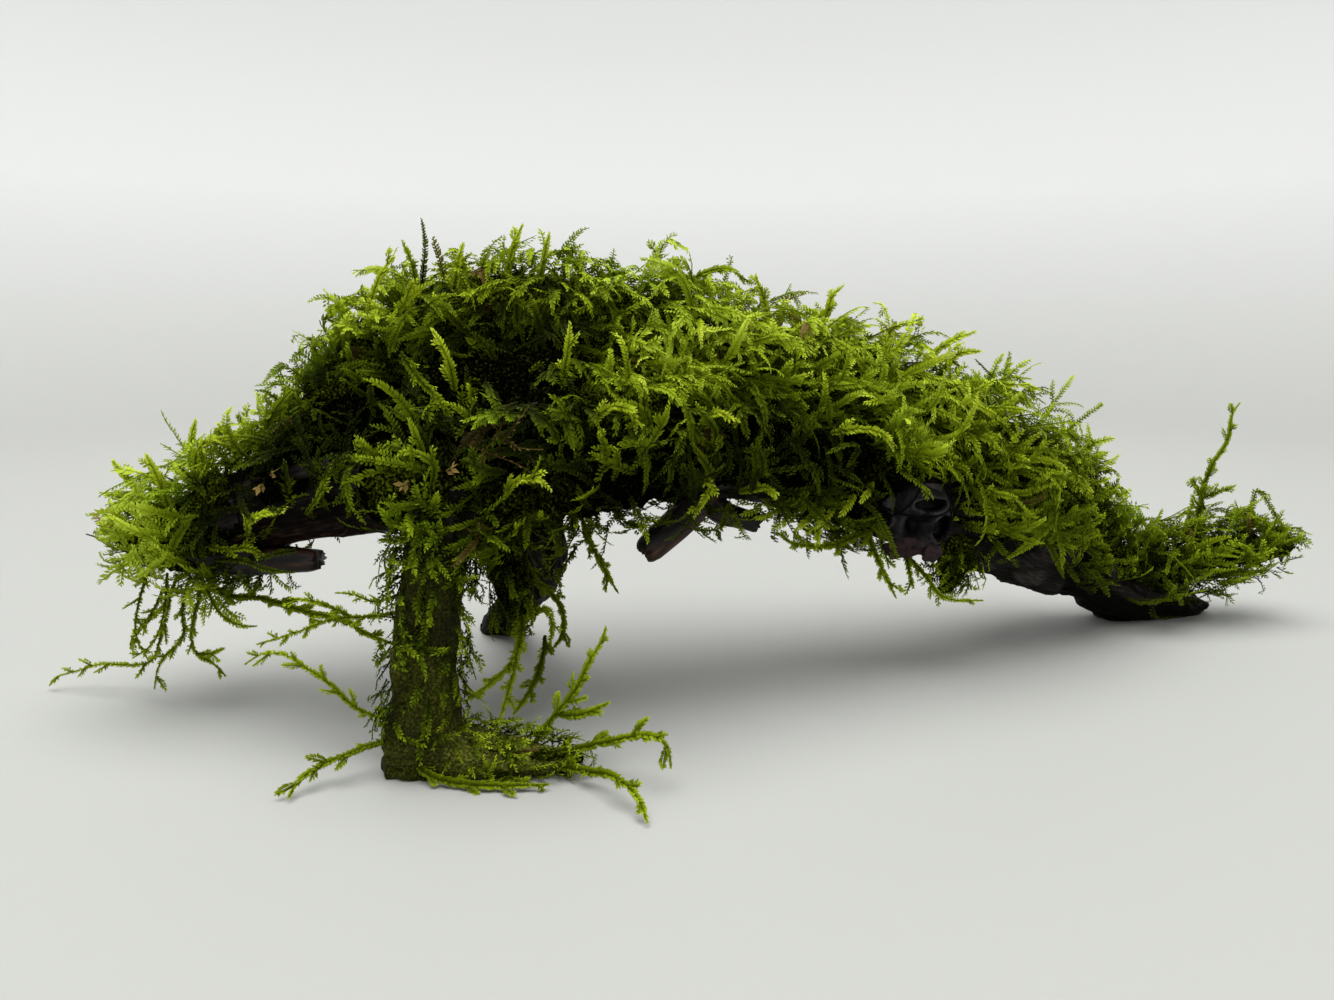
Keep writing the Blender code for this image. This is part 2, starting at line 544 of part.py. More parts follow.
def place_cushion(name, route, frames, seed, finish):
    """Cushions keep clear of each other's plain hulls, so that a crease is left between their tufts."""
    piece = new_object(name, cushion_shape(route, frames, seed), finish)
    cut_clear(piece, clearances + hulls)
    simplify(piece, CUSHION_SHARE)
    shade_round(piece)
    hulls.append(guide(name + "_hull", cushion_hull(route, frames)))
    return guide(name + "_clearance", cushion_shape(route, frames, seed, GAP))


def build_wood():
    bark = material("dark wet wood", (0.035, 0.028, 0.022), 0.55)
    heartwood = material("broken red brown wood", (0.09, 0.045, 0.028), 0.5)
    for name in LIMBS:
        place(name, lambda grow, name=name: limb_shape(name, grow), bark if name in BARK else heartwood)


def build_threads():
    cotton = material("dark cotton thread", (0.012, 0.012, 0.014), 0.8)
    for name, (limb, at_x) in THREADS.items():
        place(name, lambda grow, limb=limb, at_x=at_x: thread_shape(limb, at_x, grow), cotton)


def build_cushions():
    moss = material("java moss", (0.07, 0.13, 0.015), 0.6)
    grown = []
    for number, (top, names, pinches, knots) in enumerate(MOSS_RUNS):
        for place_in_run, (name, route) in enumerate(zip(names, split_run(knots, pinches))):
            seed = 100 + 10 * number + place_in_run
            grown.append(place_cushion(name, route, section_frames(route, top), seed, moss))
    clearances.extend(grown)


def split_run(knots, pinches):
    """Divide a run at its threads, leaving a slot there, into one route for each cushion."""
    fine = smooth_route(knots, FINE_SPACING)
    edges = [-math.inf, *pinches, math.inf]
    routes = []
    for low, high in zip(edges, edges[1:]):
        stretch = [point for point in fine if low + THREAD_SLOT / 2 < point[0] < high - THREAD_SLOT / 2]
        routes.append(smooth_route(stretch, MOSS_SPACING))
    return routes


def build_shoots():
    shoot_green = material("java moss shoot", (0.16, 0.24, 0.02), 0.6)
    for name, (stem, *sides) in SHOOTS.items():
        place("shoot_" + name, lambda grow, knots=stem: shoot_shape(knots, grow), shoot_green,
              [lambda grow, knots=side: shoot_shape(knots, grow) for side in sides])


clear_scene()
build_wood()
build_threads()
build_cushions()
build_shoots()
for cutter in clearances + hulls:
    bpy.data.objects.remove(cutter)
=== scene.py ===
import math

import bmesh
import bpy
import numpy as np
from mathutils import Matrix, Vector, bvhtree, noise


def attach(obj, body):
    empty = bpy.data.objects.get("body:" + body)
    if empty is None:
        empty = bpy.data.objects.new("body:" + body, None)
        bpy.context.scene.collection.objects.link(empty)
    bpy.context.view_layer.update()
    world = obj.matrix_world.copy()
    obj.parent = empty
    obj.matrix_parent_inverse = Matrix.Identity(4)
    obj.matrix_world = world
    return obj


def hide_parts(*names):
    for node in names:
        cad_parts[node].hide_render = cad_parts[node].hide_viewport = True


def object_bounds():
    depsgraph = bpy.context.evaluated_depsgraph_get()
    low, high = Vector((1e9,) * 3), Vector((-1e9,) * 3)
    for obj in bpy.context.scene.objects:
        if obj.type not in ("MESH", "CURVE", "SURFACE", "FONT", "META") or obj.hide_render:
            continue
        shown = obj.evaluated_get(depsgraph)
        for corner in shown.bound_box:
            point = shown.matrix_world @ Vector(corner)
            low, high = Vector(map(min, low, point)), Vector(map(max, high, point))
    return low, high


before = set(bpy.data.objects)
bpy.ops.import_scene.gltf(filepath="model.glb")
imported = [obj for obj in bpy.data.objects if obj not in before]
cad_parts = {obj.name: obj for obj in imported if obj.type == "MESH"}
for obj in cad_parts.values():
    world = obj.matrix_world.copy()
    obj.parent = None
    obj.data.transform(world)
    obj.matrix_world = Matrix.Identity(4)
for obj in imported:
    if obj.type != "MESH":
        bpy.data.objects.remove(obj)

cad_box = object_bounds()
scene = bpy.context.scene

# Camera, floor and light
# The piece is looked at from just above the floor, close to, with a wide lens. It stands in a pale
# round sweep, a floor that curves up into a wall all round, under one broad soft light.
PHOTO_WIDTH = 1334     # pixels
FOCAL_PIXELS = 1000    # focal length, in pixels of that width
SENSOR = 36.0          # mm
EYE = (-0.0125, -0.167, 0.066)     # m
PITCH = math.radians(11)           # downwards
SWEEP_FLOOR = 0.46     # m, radius at which the floor starts to curve up
SWEEP_WALL = 0.80      # m, radius of the wall
SWEEP_HEIGHT = 0.62    # m
SWEEP_TURNS = 96
BEND_STEPS = 12
FLOOR_TONE = (0.355, 0.358, 0.338, 1)
WALL_TONE = (0.515, 0.52, 0.515, 1)
WALL_FROM = 0.16       # m, height at which the floor's tone has turned to the wall's
LIGHT_PLACE = (-0.05, -0.08, 1.05)
LIGHT_AIM = (0, 0, 0.03)
LIGHT_SIZE = 1.2       # m across
LIGHT_WATTS = 22
ROOM_LIGHT = 0.24
ROOM_TONE = (0.97, 0.99, 1.0, 1)

camera = bpy.data.objects.new("camera", bpy.data.cameras.new("camera"))
scene.collection.objects.link(camera)
camera.location = EYE
camera.rotation_euler = (math.pi / 2 - PITCH, 0, 0)
camera.data.sensor_width = SENSOR
camera.data.lens = SENSOR * FOCAL_PIXELS / PHOTO_WIDTH
camera.data.clip_start = 0.005
scene.camera = camera


def mesh_object(name, data):
    """A new object in the scene with this mesh."""
    piece = bpy.data.objects.new(name, data)
    scene.collection.objects.link(piece)
    return piece


def sweep_mesh():
    """The sweep's profile, from the middle of the floor out and up, turned once round."""
    mesh = bmesh.new()
    bend = SWEEP_WALL - SWEEP_FLOOR
    profile = [(0.0, 0.0)]
    for i in range(BEND_STEPS + 1):
        turn = math.pi / 2 * i / BEND_STEPS
        profile.append((SWEEP_FLOOR + bend * math.sin(turn), bend * (1 - math.cos(turn))))
    profile.append((SWEEP_WALL, SWEEP_HEIGHT))
    line = [mesh.verts.new((x, 0, z)) for x, z in profile]
    edges = [mesh.edges.new(pair) for pair in zip(line, line[1:])]
    bmesh.ops.spin(
        mesh, geom=line + edges, cent=(0, 0, 0), axis=(0, 0, 1), angle=math.tau, steps=SWEEP_TURNS)
    bmesh.ops.remove_doubles(mesh, verts=mesh.verts, dist=1e-5)
    bmesh.ops.recalc_face_normals(mesh, faces=mesh.faces)
    if next(iter(mesh.faces)).normal.z < 0:
        bmesh.ops.reverse_faces(mesh, faces=mesh.faces)
    data = bpy.data.meshes.new("sweep")
    mesh.to_mesh(data)
    mesh.free()
    data.shade_smooth()
    return data


class Wire:
    """A socket in a node tree that can be used in sums."""

    def __init__(self, nodes, socket):
        self.nodes = nodes
        self.socket = socket

    def __add__(self, other):
        return self.nodes.maths("ADD", self, other)

    def __sub__(self, other):
        return self.nodes.maths("SUBTRACT", self, other)

    def __mul__(self, other):
        return self.nodes.maths("MULTIPLY", self, other)

    def __truediv__(self, other):
        return self.nodes.maths("DIVIDE", self, other)

    def __rsub__(self, other):
        return self.nodes.maths("SUBTRACT", other, self)

    def __pow__(self, other):
        return self.nodes.maths("POWER", self, other)

    def __mod__(self, other):
        return self.nodes.maths("FLOORED_MODULO", self, other)

    __radd__ = __add__
    __rmul__ = __mul__

    def out(self, name):
        """Another output of the same node."""
        return Wire(self.nodes, self.socket.node.outputs[name])


class Nodes:
    """A node tree that nodes are added to."""

    def __init__(self, tree):
        self.tree = tree

    def add(self, kind, settings=None, sockets=None, output=0):
        """One of the outputs of a new node: its settings are set first, then its sockets."""
        node = self.tree.nodes.new(kind)
        for name, value in (settings or {}).items():
            if name == "stops":
                self.set_stops(node.color_ramp, value)
            else:
                setattr(node, name, value)
        self.fill(node, sockets or {})
        return Wire(self, node.outputs[output]) if node.outputs else node

    def fill(self, node, sockets):
        """Give sockets their values or wires; a list holds the wires that one socket takes."""
        for key, value in sockets.items():
            for one in value if isinstance(value, list) else [value]:
                if isinstance(one, Wire):
                    self.tree.links.new(one.socket, node.inputs[key])
                else:
                    node.inputs[key].default_value = one

    def set_stops(self, blend, stops):
        blend.elements.remove(blend.elements[1])
        for i, (place, colour) in enumerate(stops):
            stop = blend.elements[0] if i == 0 else blend.elements.new(place)
            stop.position = place
            stop.color = (*colour, 1)

    def colours(self, factor, stops):
        """A colour that passes through stops, each a place and a colour, as the factor rises."""
        return self.add("ShaderNodeValToRGB", {"stops": stops}, {"Fac": factor})

    def kept(self, name, output=2):
        """A number that the mesh keeps for each point, or a vector with output 1."""
        return self.add("ShaderNodeAttribute", {"attribute_name": name}, output=output)

    def bump(self, height, strength, distance):
        return self.add("ShaderNodeBump", sockets={
            "Height": height, "Strength": strength, "Distance": distance})

    def maths(self, operation, first, second=0.0):
        return self.add("ShaderNodeMath", {"operation": operation}, {0: first, 1: second})

    def clamped(self, value):
        return self.add("ShaderNodeMath", {"operation": "ADD", "use_clamp": True}, {0: value, 1: 0.0})

    def vector(self, operation, first, second):
        return self.add("ShaderNodeVectorMath", {"operation": operation}, {0: first, 1: second})

    def scaled(self, vector, factor):
        return self.add("ShaderNodeVectorMath", {"operation": "SCALE"}, {0: vector, "Scale": factor})

    def noise(self, place, scale, detail=4.0):
        return self.add("ShaderNodeTexNoise", sockets={"Vector": place, "Scale": scale, "Detail": detail})

    def mix(self, factor, first, second):
        """A blend of two colours."""
        return self.add("ShaderNodeMix", {"data_type": "RGBA"}, {0: factor, 6: first, 7: second}, output=2)


def finish_of(name):
    """A new material, its nodes and its Principled shader."""
    finish = bpy.data.materials.new(name)
    finish.use_nodes = True
    shader = finish.node_tree.nodes["Principled BSDF"]
    return finish, Nodes(finish.node_tree), shader


def sweep_finish():
    """Matt and pale, a little lighter up the wall than on the floor."""
    finish, nodes, shader = finish_of("pale sweep")
    place = nodes.add("ShaderNodeSeparateXYZ", sockets={0: nodes.add("ShaderNodeTexCoord", output=3)})
    rise = nodes.clamped(place.out("Z") / WALL_FROM)
    nodes.fill(shader, {"Base Color": nodes.mix(rise, FLOOR_TONE, WALL_TONE), "Roughness": 0.6})
    return finish


def soft_light(name, place, aim, size, watts):
    """A round lamp that is aimed at a place."""
    lamp = bpy.data.lights.new(name, "AREA")
    lamp.shape = "DISK"
    lamp.size = size
    lamp.energy = watts
    thing = bpy.data.objects.new(name, lamp)
    scene.collection.objects.link(thing)
    thing.location = place
    thing.rotation_euler = (Vector(aim) - Vector(place)).to_track_quat("-Z", "Y").to_euler()


sweep = mesh_object("sweep", sweep_mesh())
sweep.data.materials.append(sweep_finish())
soft_light("overhead light", LIGHT_PLACE, LIGHT_AIM, LIGHT_SIZE, LIGHT_WATTS)
world = bpy.data.worlds.new("world")
world.use_nodes = True
room = world.node_tree.nodes["Background"]
room.inputs["Color"].default_value = ROOM_TONE
room.inputs["Strength"].default_value = ROOM_LIGHT
scene.world = world
scene.view_settings.view_transform = "Standard"

# Driftwood
# One dead branch that stands on three roots. The wood is nearly black with wet, ridged along its
# grain, with thin flakes that lift at their edges on the right and a smooth split face on the left.
MM = 0.001
CLOSE = 0.24           # mm that each limb is swollen, so that the limbs meet at their forks
VOXEL = 0.8            # mm
SOFTENING = 7          # rounds of smoothing that take the facets out, each by half
GRAIN_APART = 40.0     # mm between the grain of one limb and the next, so that none repeats
FURROWS = (0.05, 0.42, 0.42)       # how close noise runs along the grain and, two ways, across it
FINE_FURROWS = (0.14, 1.5, 1.5)
FLAKES = (0.045, 0.11, 0.11)
KNOBS = (0.16, 0.16, 0.16)
WOOD_NODES = ("arch", "left_limb", "crown_limb", "front_leg", "front_toe", "back_leg", "right_foot")
GRAIN = {              # the middle line of each limb, mm
    "arch": [
        (-51, -23, 37.5), (-27, -13, 43), (0, 0.5, 40.5), (26, 10.5, 35), (48, 21, 27.5), (79, 36, 10)],
    "left_limb": [(-42, -17, 39.5), (-62, -9.5, 37), (-82, -7, 31.5), (-100, -6.5, 26.6)],
    "crown_limb": [(-76, -5.5, 35), (-57, 0, 54), (-34, 5, 62.5), (0, 8, 54), (31, 14.5, 34)],
    "front_leg": [(-45, -21, 41), (-46.8, -28, 24), (-48, -31.5, -2)],
    "front_toe": [(-48, -31.5, 4), (-26, -33, 1.5)],
    "back_leg": [(-35.5, -8, 40), (-34.5, 6, 21.5), (-49, 34, -1.5)],
    "right_foot": [(72, 33.5, 12), (107, 44, 1.2)],
}


def plain_mesh(thing):
    """What an object's modifiers make, as a plain mesh; the object goes."""
    seen = thing.evaluated_get(bpy.context.evaluated_depsgraph_get())
    result = bpy.data.meshes.new_from_object(seen)
    bpy.data.objects.remove(thing)
    return result


def fused(nodes, swell, voxel, softening):
    """Copies of the named solids, swollen a little, joined into one skin and smoothed; millimetres."""
    mesh = bmesh.new()
    for node in nodes:
        mesh.from_mesh(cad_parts[node].data)
    bmesh.ops.remove_doubles(mesh, verts=mesh.verts, dist=1e-6)
    mesh.normal_update()
    for vert in mesh.verts:
        vert.co = vert.co / MM + vert.normal * swell
    data = bpy.data.meshes.new("joined limbs")
    mesh.to_mesh(data)
    mesh.free()
    joined = mesh_object("joined limbs", data)
    skin = joined.modifiers.new("skin", "REMESH")
    skin.mode = "VOXEL"
    skin.voxel_size = voxel
    soft = joined.modifiers.new("soften", "SMOOTH")
    soft.factor = 0.5
    soft.iterations = softening
    return plain_mesh(joined)


def vectors_of(data, name):
    """The place, "co", or the "normal" of each point of a mesh."""
    flat = np.empty(len(data.vertices) * 3)
    data.vertices.foreach_get(name, flat)
    return flat.reshape(-1, 3)


def unit(vectors):
    """The vectors, each made one long."""
    return vectors / np.maximum(np.linalg.norm(vectors, axis=-1, keepdims=True), 1e-9)


def along_grain(points):
    """Each point in its limb's own measure: mm along the grain, and mm across it, two ways."""
    best = np.full(len(points), np.inf)
    grain = np.zeros((len(points), 3))
    for number, line in enumerate(GRAIN.values()):
        travelled = GRAIN_APART * number
        for a, b in zip(np.array(line), np.array(line[1:])):
            span = b - a
            length = np.linalg.norm(span)
            way = span / length
            share = np.clip((points - a) @ way / length, 0, 1)
            off = points - (a + share[:, None] * span)
            gap = np.linalg.norm(off, axis=1)
            side = unit(np.cross(way, (0.05, 0.1, 1.0)))
            near = gap < best
            best[near] = gap[near]
            local = np.stack([travelled + share * length, off @ side, off @ np.cross(side, way)], axis=1)
            grain[near] = local[near]
            travelled += length
    return grain


def noise_at(points, scale):
    """Smooth noise from -1 to 1 at points stretched by scale."""
    return np.array([noise.noise(Vector(p)) for p in points * np.array(scale)])


def ramp(value, low, high):
    """0 below low, 1 above high, smooth between."""
    t = np.clip((value - low) / (high - low), 0, 1)
    return t * t * (3 - 2 * t)


def carve_bark(points, normals, grain):
    """Ridges and furrows along the grain, knobs, and flakes with lifted lips; mm moved along the normal."""
    furrows = 1 - 2.4 * np.abs(noise_at(grain, FURROWS))
    fine = noise_at(grain, FINE_FURROWS)
    knobs = noise_at(points, KNOBS)
    layers = 2.6 * noise_at(grain + 31.0, FLAKES)
    step = np.floor(layers)
    lips = (step + ramp(layers - step, 0.72, 0.98)) * 0.75
    flaky = ramp(points[:, 0], 40, 56)
    split = ramp(-points[:, 0], 50, 62) * ramp(-normals[:, 2], 0.1, 0.6)
    rough = 1 - 0.75 * np.maximum(flaky, split)
    return rough * (0.75 * furrows - 0.3) + 0.16 * fine + 0.75 * rough * knobs + flaky * (lips + 0.5)


def store(data, name, values):
    """Keep a number or a vector for each point of a mesh."""
    values = np.asarray(values, float)
    if values.ndim == 1:
        data.attributes.new(name, "FLOAT", "POINT").data.foreach_set("value", values)
    else:
        data.attributes.new(name, "FLOAT_VECTOR", "POINT").data.foreach_set("vector", values.ravel())


def bark_finish():
    """Black wet bark, streaked along the grain and darkened in its furrows with painted shade; red brown
    where it is split, green under a film of moss.
    """
    finish, nodes, shader = finish_of("wet dark bark")
    place = nodes.add("ShaderNodeTexCoord", output=3)
    along = nodes.kept("grain", output=1)
    streaks = nodes.add("ShaderNodeMapping", sockets={"Vector": along, "Scale": (0.12, 1.0, 1.0)})
    blotch = nodes.noise(place, 110.0)
    grain = nodes.noise(streaks, 2.2, 5.0)
    fine = nodes.noise(place, 2600.0, 2.0)
    film = nodes.kept("film")
    dark = nodes.colours(blotch * 0.25 + grain * 0.45 + nodes.kept("furrow_shade") * 0.3, [
        (0.32, (0.0007, 0.0006, 0.0005)), (0.46, (0.0042, 0.0036, 0.0031)),
        (0.58, (0.017, 0.0142, 0.0125)), (0.72, (0.060, 0.052, 0.046))])
    split = nodes.colours(grain, [
        (0.32, (0.0012, 0.0005, 0.0003)), (0.50, (0.0060, 0.0020, 0.0010)),
        (0.62, (0.022, 0.0085, 0.0042)), (0.76, (0.080, 0.052, 0.034))])
    green = nodes.colours(fine, [
        (0.32, (0.009, 0.0105, 0.0008)), (0.54, (0.032, 0.036, 0.0034)), (0.76, (0.090, 0.094, 0.013))])
    fuzz = nodes.colours(fine, [
        (0.32, (0.022, 0.026, 0.002)), (0.54, (0.085, 0.094, 0.011)), (0.76, (0.230, 0.240, 0.048))])
    wood = nodes.mix(nodes.kept("split"), dark, split)
    living = nodes.mix(nodes.clamped(film - 1.0), green, fuzz)
    nodes.fill(shader, {
        "Base Color": nodes.mix(nodes.clamped(film * (blotch * 3.0 - 0.5)), wood, living),
        "Roughness": 0.35 + 0.4 * blotch, "Normal": nodes.bump(grain + fine * 0.35, 0.75, 0.0004),
        "Specular IOR Level": 0.03})
    return finish


wood_data = fused(WOOD_NODES, CLOSE, VOXEL, SOFTENING)
wood_points = vectors_of(wood_data, "co")
wood_normals = vectors_of(wood_data, "normal")
wood_grain = along_grain(wood_points)
carved = carve_bark(wood_points, wood_normals, wood_grain)
wood_points += wood_normals * carved[:, None]
wood_points[:, 2] = np.maximum(wood_points[:, 2], 0)
wood_data.vertices.foreach_set("co", (wood_points * MM).ravel())
wood_data.update()
wood_faces = [tuple(face.vertices) for face in wood_data.polygons]
wood_tree = bvhtree.BVHTree.FromPolygons(wood_points.tolist(), wood_faces)
# The front leg is green under a film of moss, fuzzy at its foot, and the left limb is split underneath.
x_here, y_here, z_here = wood_points.T
film_here = ramp(-x_here, 22, 30) * ramp(-y_here, 16, 22) * ramp(38 - z_here, 0, 10)
fuzzy = ramp(9 - z_here, 0, 5) * ramp(x_here, -46, -38)
store(wood_data, "film", film_here * (1 + fuzzy))
store(wood_data, "split", ramp(-x_here, 52, 60) * ramp(-wood_normals[:, 2], 0.0, 0.6))
# Painted shade: the deeper a furrow is carved, the darker the bark is coloured there, and ridges lighter.
store(wood_data, "furrow_shade", ramp(carved, -0.7, 1.3))
store(wood_data, "grain", wood_grain)
wood_data.shade_smooth()
wood_data.materials.clear()
wood_data.materials.append(bark_finish())
driftwood = mesh_object("driftwood", wood_data)
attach(driftwood, "root")
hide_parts(*WOOD_NODES)

# Broken ends
# Two side branches are snapped off under the arch and a long splinter hangs under the left limb. Their
# inner wood shows, red brown and smooth along the grain, torn at the end.
RIGHT, UP, BACK = (1, 0, 0), (0, 0, 1), (0, 1, 0)
END_SIDES = 48
END_STEP = 0.3         # mm
TORN_FROM = 2.6        # mm before the end
GRAIN_ROUND = 2.5      # mm, the radius at which the grain of a broken branch is measured
STEPS_PER_KNOT = 12    # from one knot of a route to the next
OLD_BARK = (0.0030, 0.0024, 0.0020, 1)
# Each end: which way is up, mm that fibres stand out at the break, how much black bark still clings below
# and above, and x, y, z, half width and half height along it. It starts inside its limb.
BROKEN_ENDS = {
    "stub_long": (RIGHT, 0.9, 1.0, 0.0, [
        (-5.5, -1.8, 36.5, 2.8, 2.8), (-9, -3.2, 32, 2.8, 2.8), (-12.5, -4.2, 28.8, 2.7, 2.7),
        (-15.4, -5, 26.2, 2.5, 2.5), (-16.3, -5.3, 25.4, 1.5, 1.5)]),
    "stub_short": (UP, 0.8, 1.0, 0.8, [
        (-7.5, -0.5, 36, 2.6, 2.6), (-3.5, -0.5, 31.8, 2.3, 2.2), (0.2, -0.6, 30.4, 1.9, 1.7),
        (2.4, -0.8, 29.8, 1.8, 1.7), (3.2, -0.9, 29.4, 1.2, 1.3)]),
    "left_splinter": (UP, 0.7, 0.85, 0.6, [
        (-93, -7.2, 28, 2.6, 1.8), (-91, -7.5, 26.8, 2.6, 2.2), (-84, -9.5, 25.9, 3.2, 2.7),
        (-76, -10.8, 25.8, 3.2, 2.3), (-70, -11.8, 26.1, 2.9, 1.9), (-68, -12, 26.2, 2.5, 1.5)]),
}


def smooth_route(knots, spacing):
    """Points about `spacing` apart on a smooth curve through the knots, with their widths blended."""
    knots = np.array(knots, float)
    ends = np.vstack([knots[:1], knots, knots[-1:]])
    t = np.linspace(0, 1, STEPS_PER_KNOT, endpoint=False)[:, None]
    spans = []
    for a, b, c, d in zip(ends, ends[1:], ends[2:], ends[3:]):
        bend = (2 * a - 5 * b + 4 * c - d) * t ** 2 + (3 * b - a - 3 * c + d) * t ** 3
        spans.append(0.5 * (2 * b + (c - a) * t + bend))
    fine = np.vstack(spans + [knots[-1:]])
    strides = np.linalg.norm(np.diff(fine[:, :3], axis=0), axis=1)
    travelled = np.concatenate([[0], np.cumsum(strides)])
    goals = np.linspace(0, travelled[-1], max(2, round(travelled[-1] / spacing)) + 1)
    return np.stack([np.interp(goals, travelled, column) for column in fine.T], axis=1)


def ways_of(places, top):
    """The way along a route at each of its points, and the two ways across it."""
    along = unit(np.gradient(places, axis=0))
    side = unit(np.cross(along, top))
    return along, side, np.cross(side, along)


def ringed(rings):
    """Points and faces of a closed form over rings of points, each end closed with a fan."""
    count, sides = rings.shape[:2]
    points = np.vstack([rings.reshape(-1, 3), rings[0].mean(axis=0), rings[-1].mean(axis=0)])
    faces = []
    for i in range(count - 1):
        for k in range(sides):
            here, there = i * sides + k, i * sides + (k + 1) % sides
            faces.append((here, here + sides, there + sides, there))
    last = (count - 1) * sides
    for k in range(sides):
        j = (k + 1) % sides
        faces.append((count * sides, k, j))
        faces.append((count * sides + 1, last + j, last + k))
    return points, faces


def mesh_of(name, forms, values):
    """One mesh of several closed forms in millimetres, with values for the points of each form."""
    points, faces = [], []
    for form_points, form_faces in forms:
        start = sum(len(p) for p in points)
        faces += [tuple(start + corner for corner in face) for face in form_faces]
        points.append(form_points)
    data = bpy.data.meshes.new(name)
    data.from_pydata((np.vstack(points) * MM).tolist(), [], faces)
    for key, parts in values.items():
        store(data, key, np.concatenate(parts))
    data.shade_smooth()
    return data


def circle(sides):
    """The angles of points round a circle."""
    return np.linspace(0, math.tau, sides + 1)[:-1]


def rings_round(route, top, turn, swell=1.0, ahead=0.0):
    """Rings of points round a route, each point swollen and pushed ahead by its own amount."""
    along, side, height = ways_of(route[:, :3], top)
    rings = route[:, None, :3] + along[:, None] * np.asarray(ahead)[..., None]
    rings = rings + side[:, None] * (np.cos(turn) * route[:, 3:4] * swell)[..., None]
    return rings + height[:, None] * (np.sin(turn) * route[:, 4:5] * swell)[..., None]


def broken_limb(top, torn_far, knots):
    """A snapped branch: its points and faces, and each point's measure along and across the grain."""
    route = smooth_route(knots, END_STEP)
    far, turn = np.meshgrid(np.arange(len(route)) * END_STEP, circle(END_SIDES), indexing="ij")
    grain = np.stack([far, GRAIN_ROUND * np.cos(turn), GRAIN_ROUND * np.sin(turn)], axis=2).reshape(-1, 3)
    swell = 1 + 0.16 * noise_at(grain + knots[0][0], (0.09, 0.4, 0.4))
    swell = swell + 0.08 * noise_at(grain, (0.2, 1.4, 1.4))
    torn = torn_far * noise_at(grain, (0, 2.1, 2.1)) * ramp(grain[:, 0], far.max() - TORN_FROM, far.max())
    rings = rings_round(route, top, turn, swell.reshape(far.shape), torn.reshape(far.shape))
    return *ringed(rings), np.vstack([grain, grain[:1], grain[-1:]])


def heartwood_finish():
    """Red brown wood, streaked along the grain, nearly black where the old bark still clings."""
    finish, nodes, shader = finish_of("broken red brown wood")
    along = nodes.kept("grain", output=1)
    streaks = nodes.add("ShaderNodeMapping", sockets={"Vector": along, "Scale": (0.10, 1.0, 1.0)})
    grain = nodes.noise(streaks, 2.4, 5.0)
    clinging = nodes.noise(streaks, 0.5, 2.0)
    wood = nodes.colours(grain, [
        (0.30, (0.006, 0.0022, 0.0012)), (0.48, (0.022, 0.0070, 0.0030)), (0.62, (0.055, 0.021, 0.009)),
        (0.78, (0.110, 0.060, 0.030))])
    barked = nodes.clamped(clinging * 5.0 - 2.6 + nodes.kept("bark") * 1.6)
    nodes.fill(shader, {
        "Base Color": nodes.mix(barked, wood, OLD_BARK), "Roughness": 0.3 + 0.35 * grain,
        "Normal": nodes.bump(grain, 0.6, 0.0003), "Specular IOR Level": 0.25})
    return finish


broken_wood = heartwood_finish()
for name, (top, torn_far, below, above, knots) in BROKEN_ENDS.items():
    points, faces, grain = broken_limb(top, torn_far, knots)
    bark = below + (above - below) * ramp(grain[:, 2], -1.2, 1.2)
    data = mesh_of(name, [(points, faces)], {"grain": [grain], "bark": [bark]})
    stub = mesh_object(name + "_broken", data)
    stub.data.materials.append(broken_wood)
    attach(stub, "root")
    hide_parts(name)

# Knot
# Where a branch rotted out of the arch a knot stands forward. Its face has four hollows with raised lips,
# grey plates that have lifted off it, and jagged plates of purple brown wood along its lower edge.
KNOT_STEP = 0.16       # mm
KNOT_SIDES = 128
KNOT_ROUTE = [         # x, y, z, half width, half height
    (32.5, 11, 32.5, 5.8, 6.4), (31.2, 5.5, 30.2, 6.2, 6.9), (30.7, 2.4, 28.8, 5.4, 6),
    (30.4, 0.9, 28.2, 3.4, 4.0), (30.4, 0.6, 28.2, 1.0, 1.2)]
HOLLOWS = [            # x and z of the middle, half width, half height, depth
    (29.9, 27.6, 2.0, 2.5, 3.4), (35.0, 28.3, 1.6, 2.3, 3.2), (32.6, 32.6, 2.7, 1.1, 2.4),
    (24.9, 29.7, 1.2, 1.5, 2.0)]
LIP = 0.55             # mm that a hollow's lip stands up
PLATES = [             # x, y, z of the middle, half width, half height, turn, how purple
    (31.4, 1.5, 35.0, 3.6, 1.2, 0.06, 0.2), (26.3, 1.6, 32.6, 2.2, 1.1, -0.35, 0.1),
    (28.6, 1.1, 24.6, 3.6, 1.9, 0.12, 1.0), (33.4, 1.4, 24.0, 1.6, 1.8, -0.3, 0.8)]
PLATE_SIDES = 28
PLATE_LAYERS = [(0.5, -0.16), (1.0, -0.12), (1.0, 0.2), (0.5, 0.24)]   # share of its size, mm of depth
PURPLE_BELOW = 26.5    # mm above the floor
# Painted shade, black red, deep in the knot's hollows.
HOLLOW_SHADE = (0.0012, 0.0005, 0.0004, 1)


def from_hollow(points, x, z, wide, high):
    """How far each point is from the middle of a hollow, 1 at its edge."""
    return np.hypot((points[:, 0] - x) / wide, (points[:, 2] - z) / high)


def hollowed(points):
    """Press the hollows into the knot's face and raise their lips."""
    moved = points.copy()
    front = ramp(-points[:, 1], -6, -2.5)
    for x, z, wide, high, deep in HOLLOWS:
        away = from_hollow(points, x, z, wide, high) * (1 + 0.12 * noise_at(points + x, (0.7, 0.7, 0.7)))
        raised = LIP * np.exp(-((away - 1.25) / 0.14) ** 2)
        moved[:, 1] += front * (deep * ramp(1.15 - away, 0, 0.4) - raised)
    moved[:, 1] += 0.4 * noise_at(points, (0.5, 0.5, 0.5)) + 0.15 * noise_at(points, (1.6, 1.6, 1.6))
    return moved


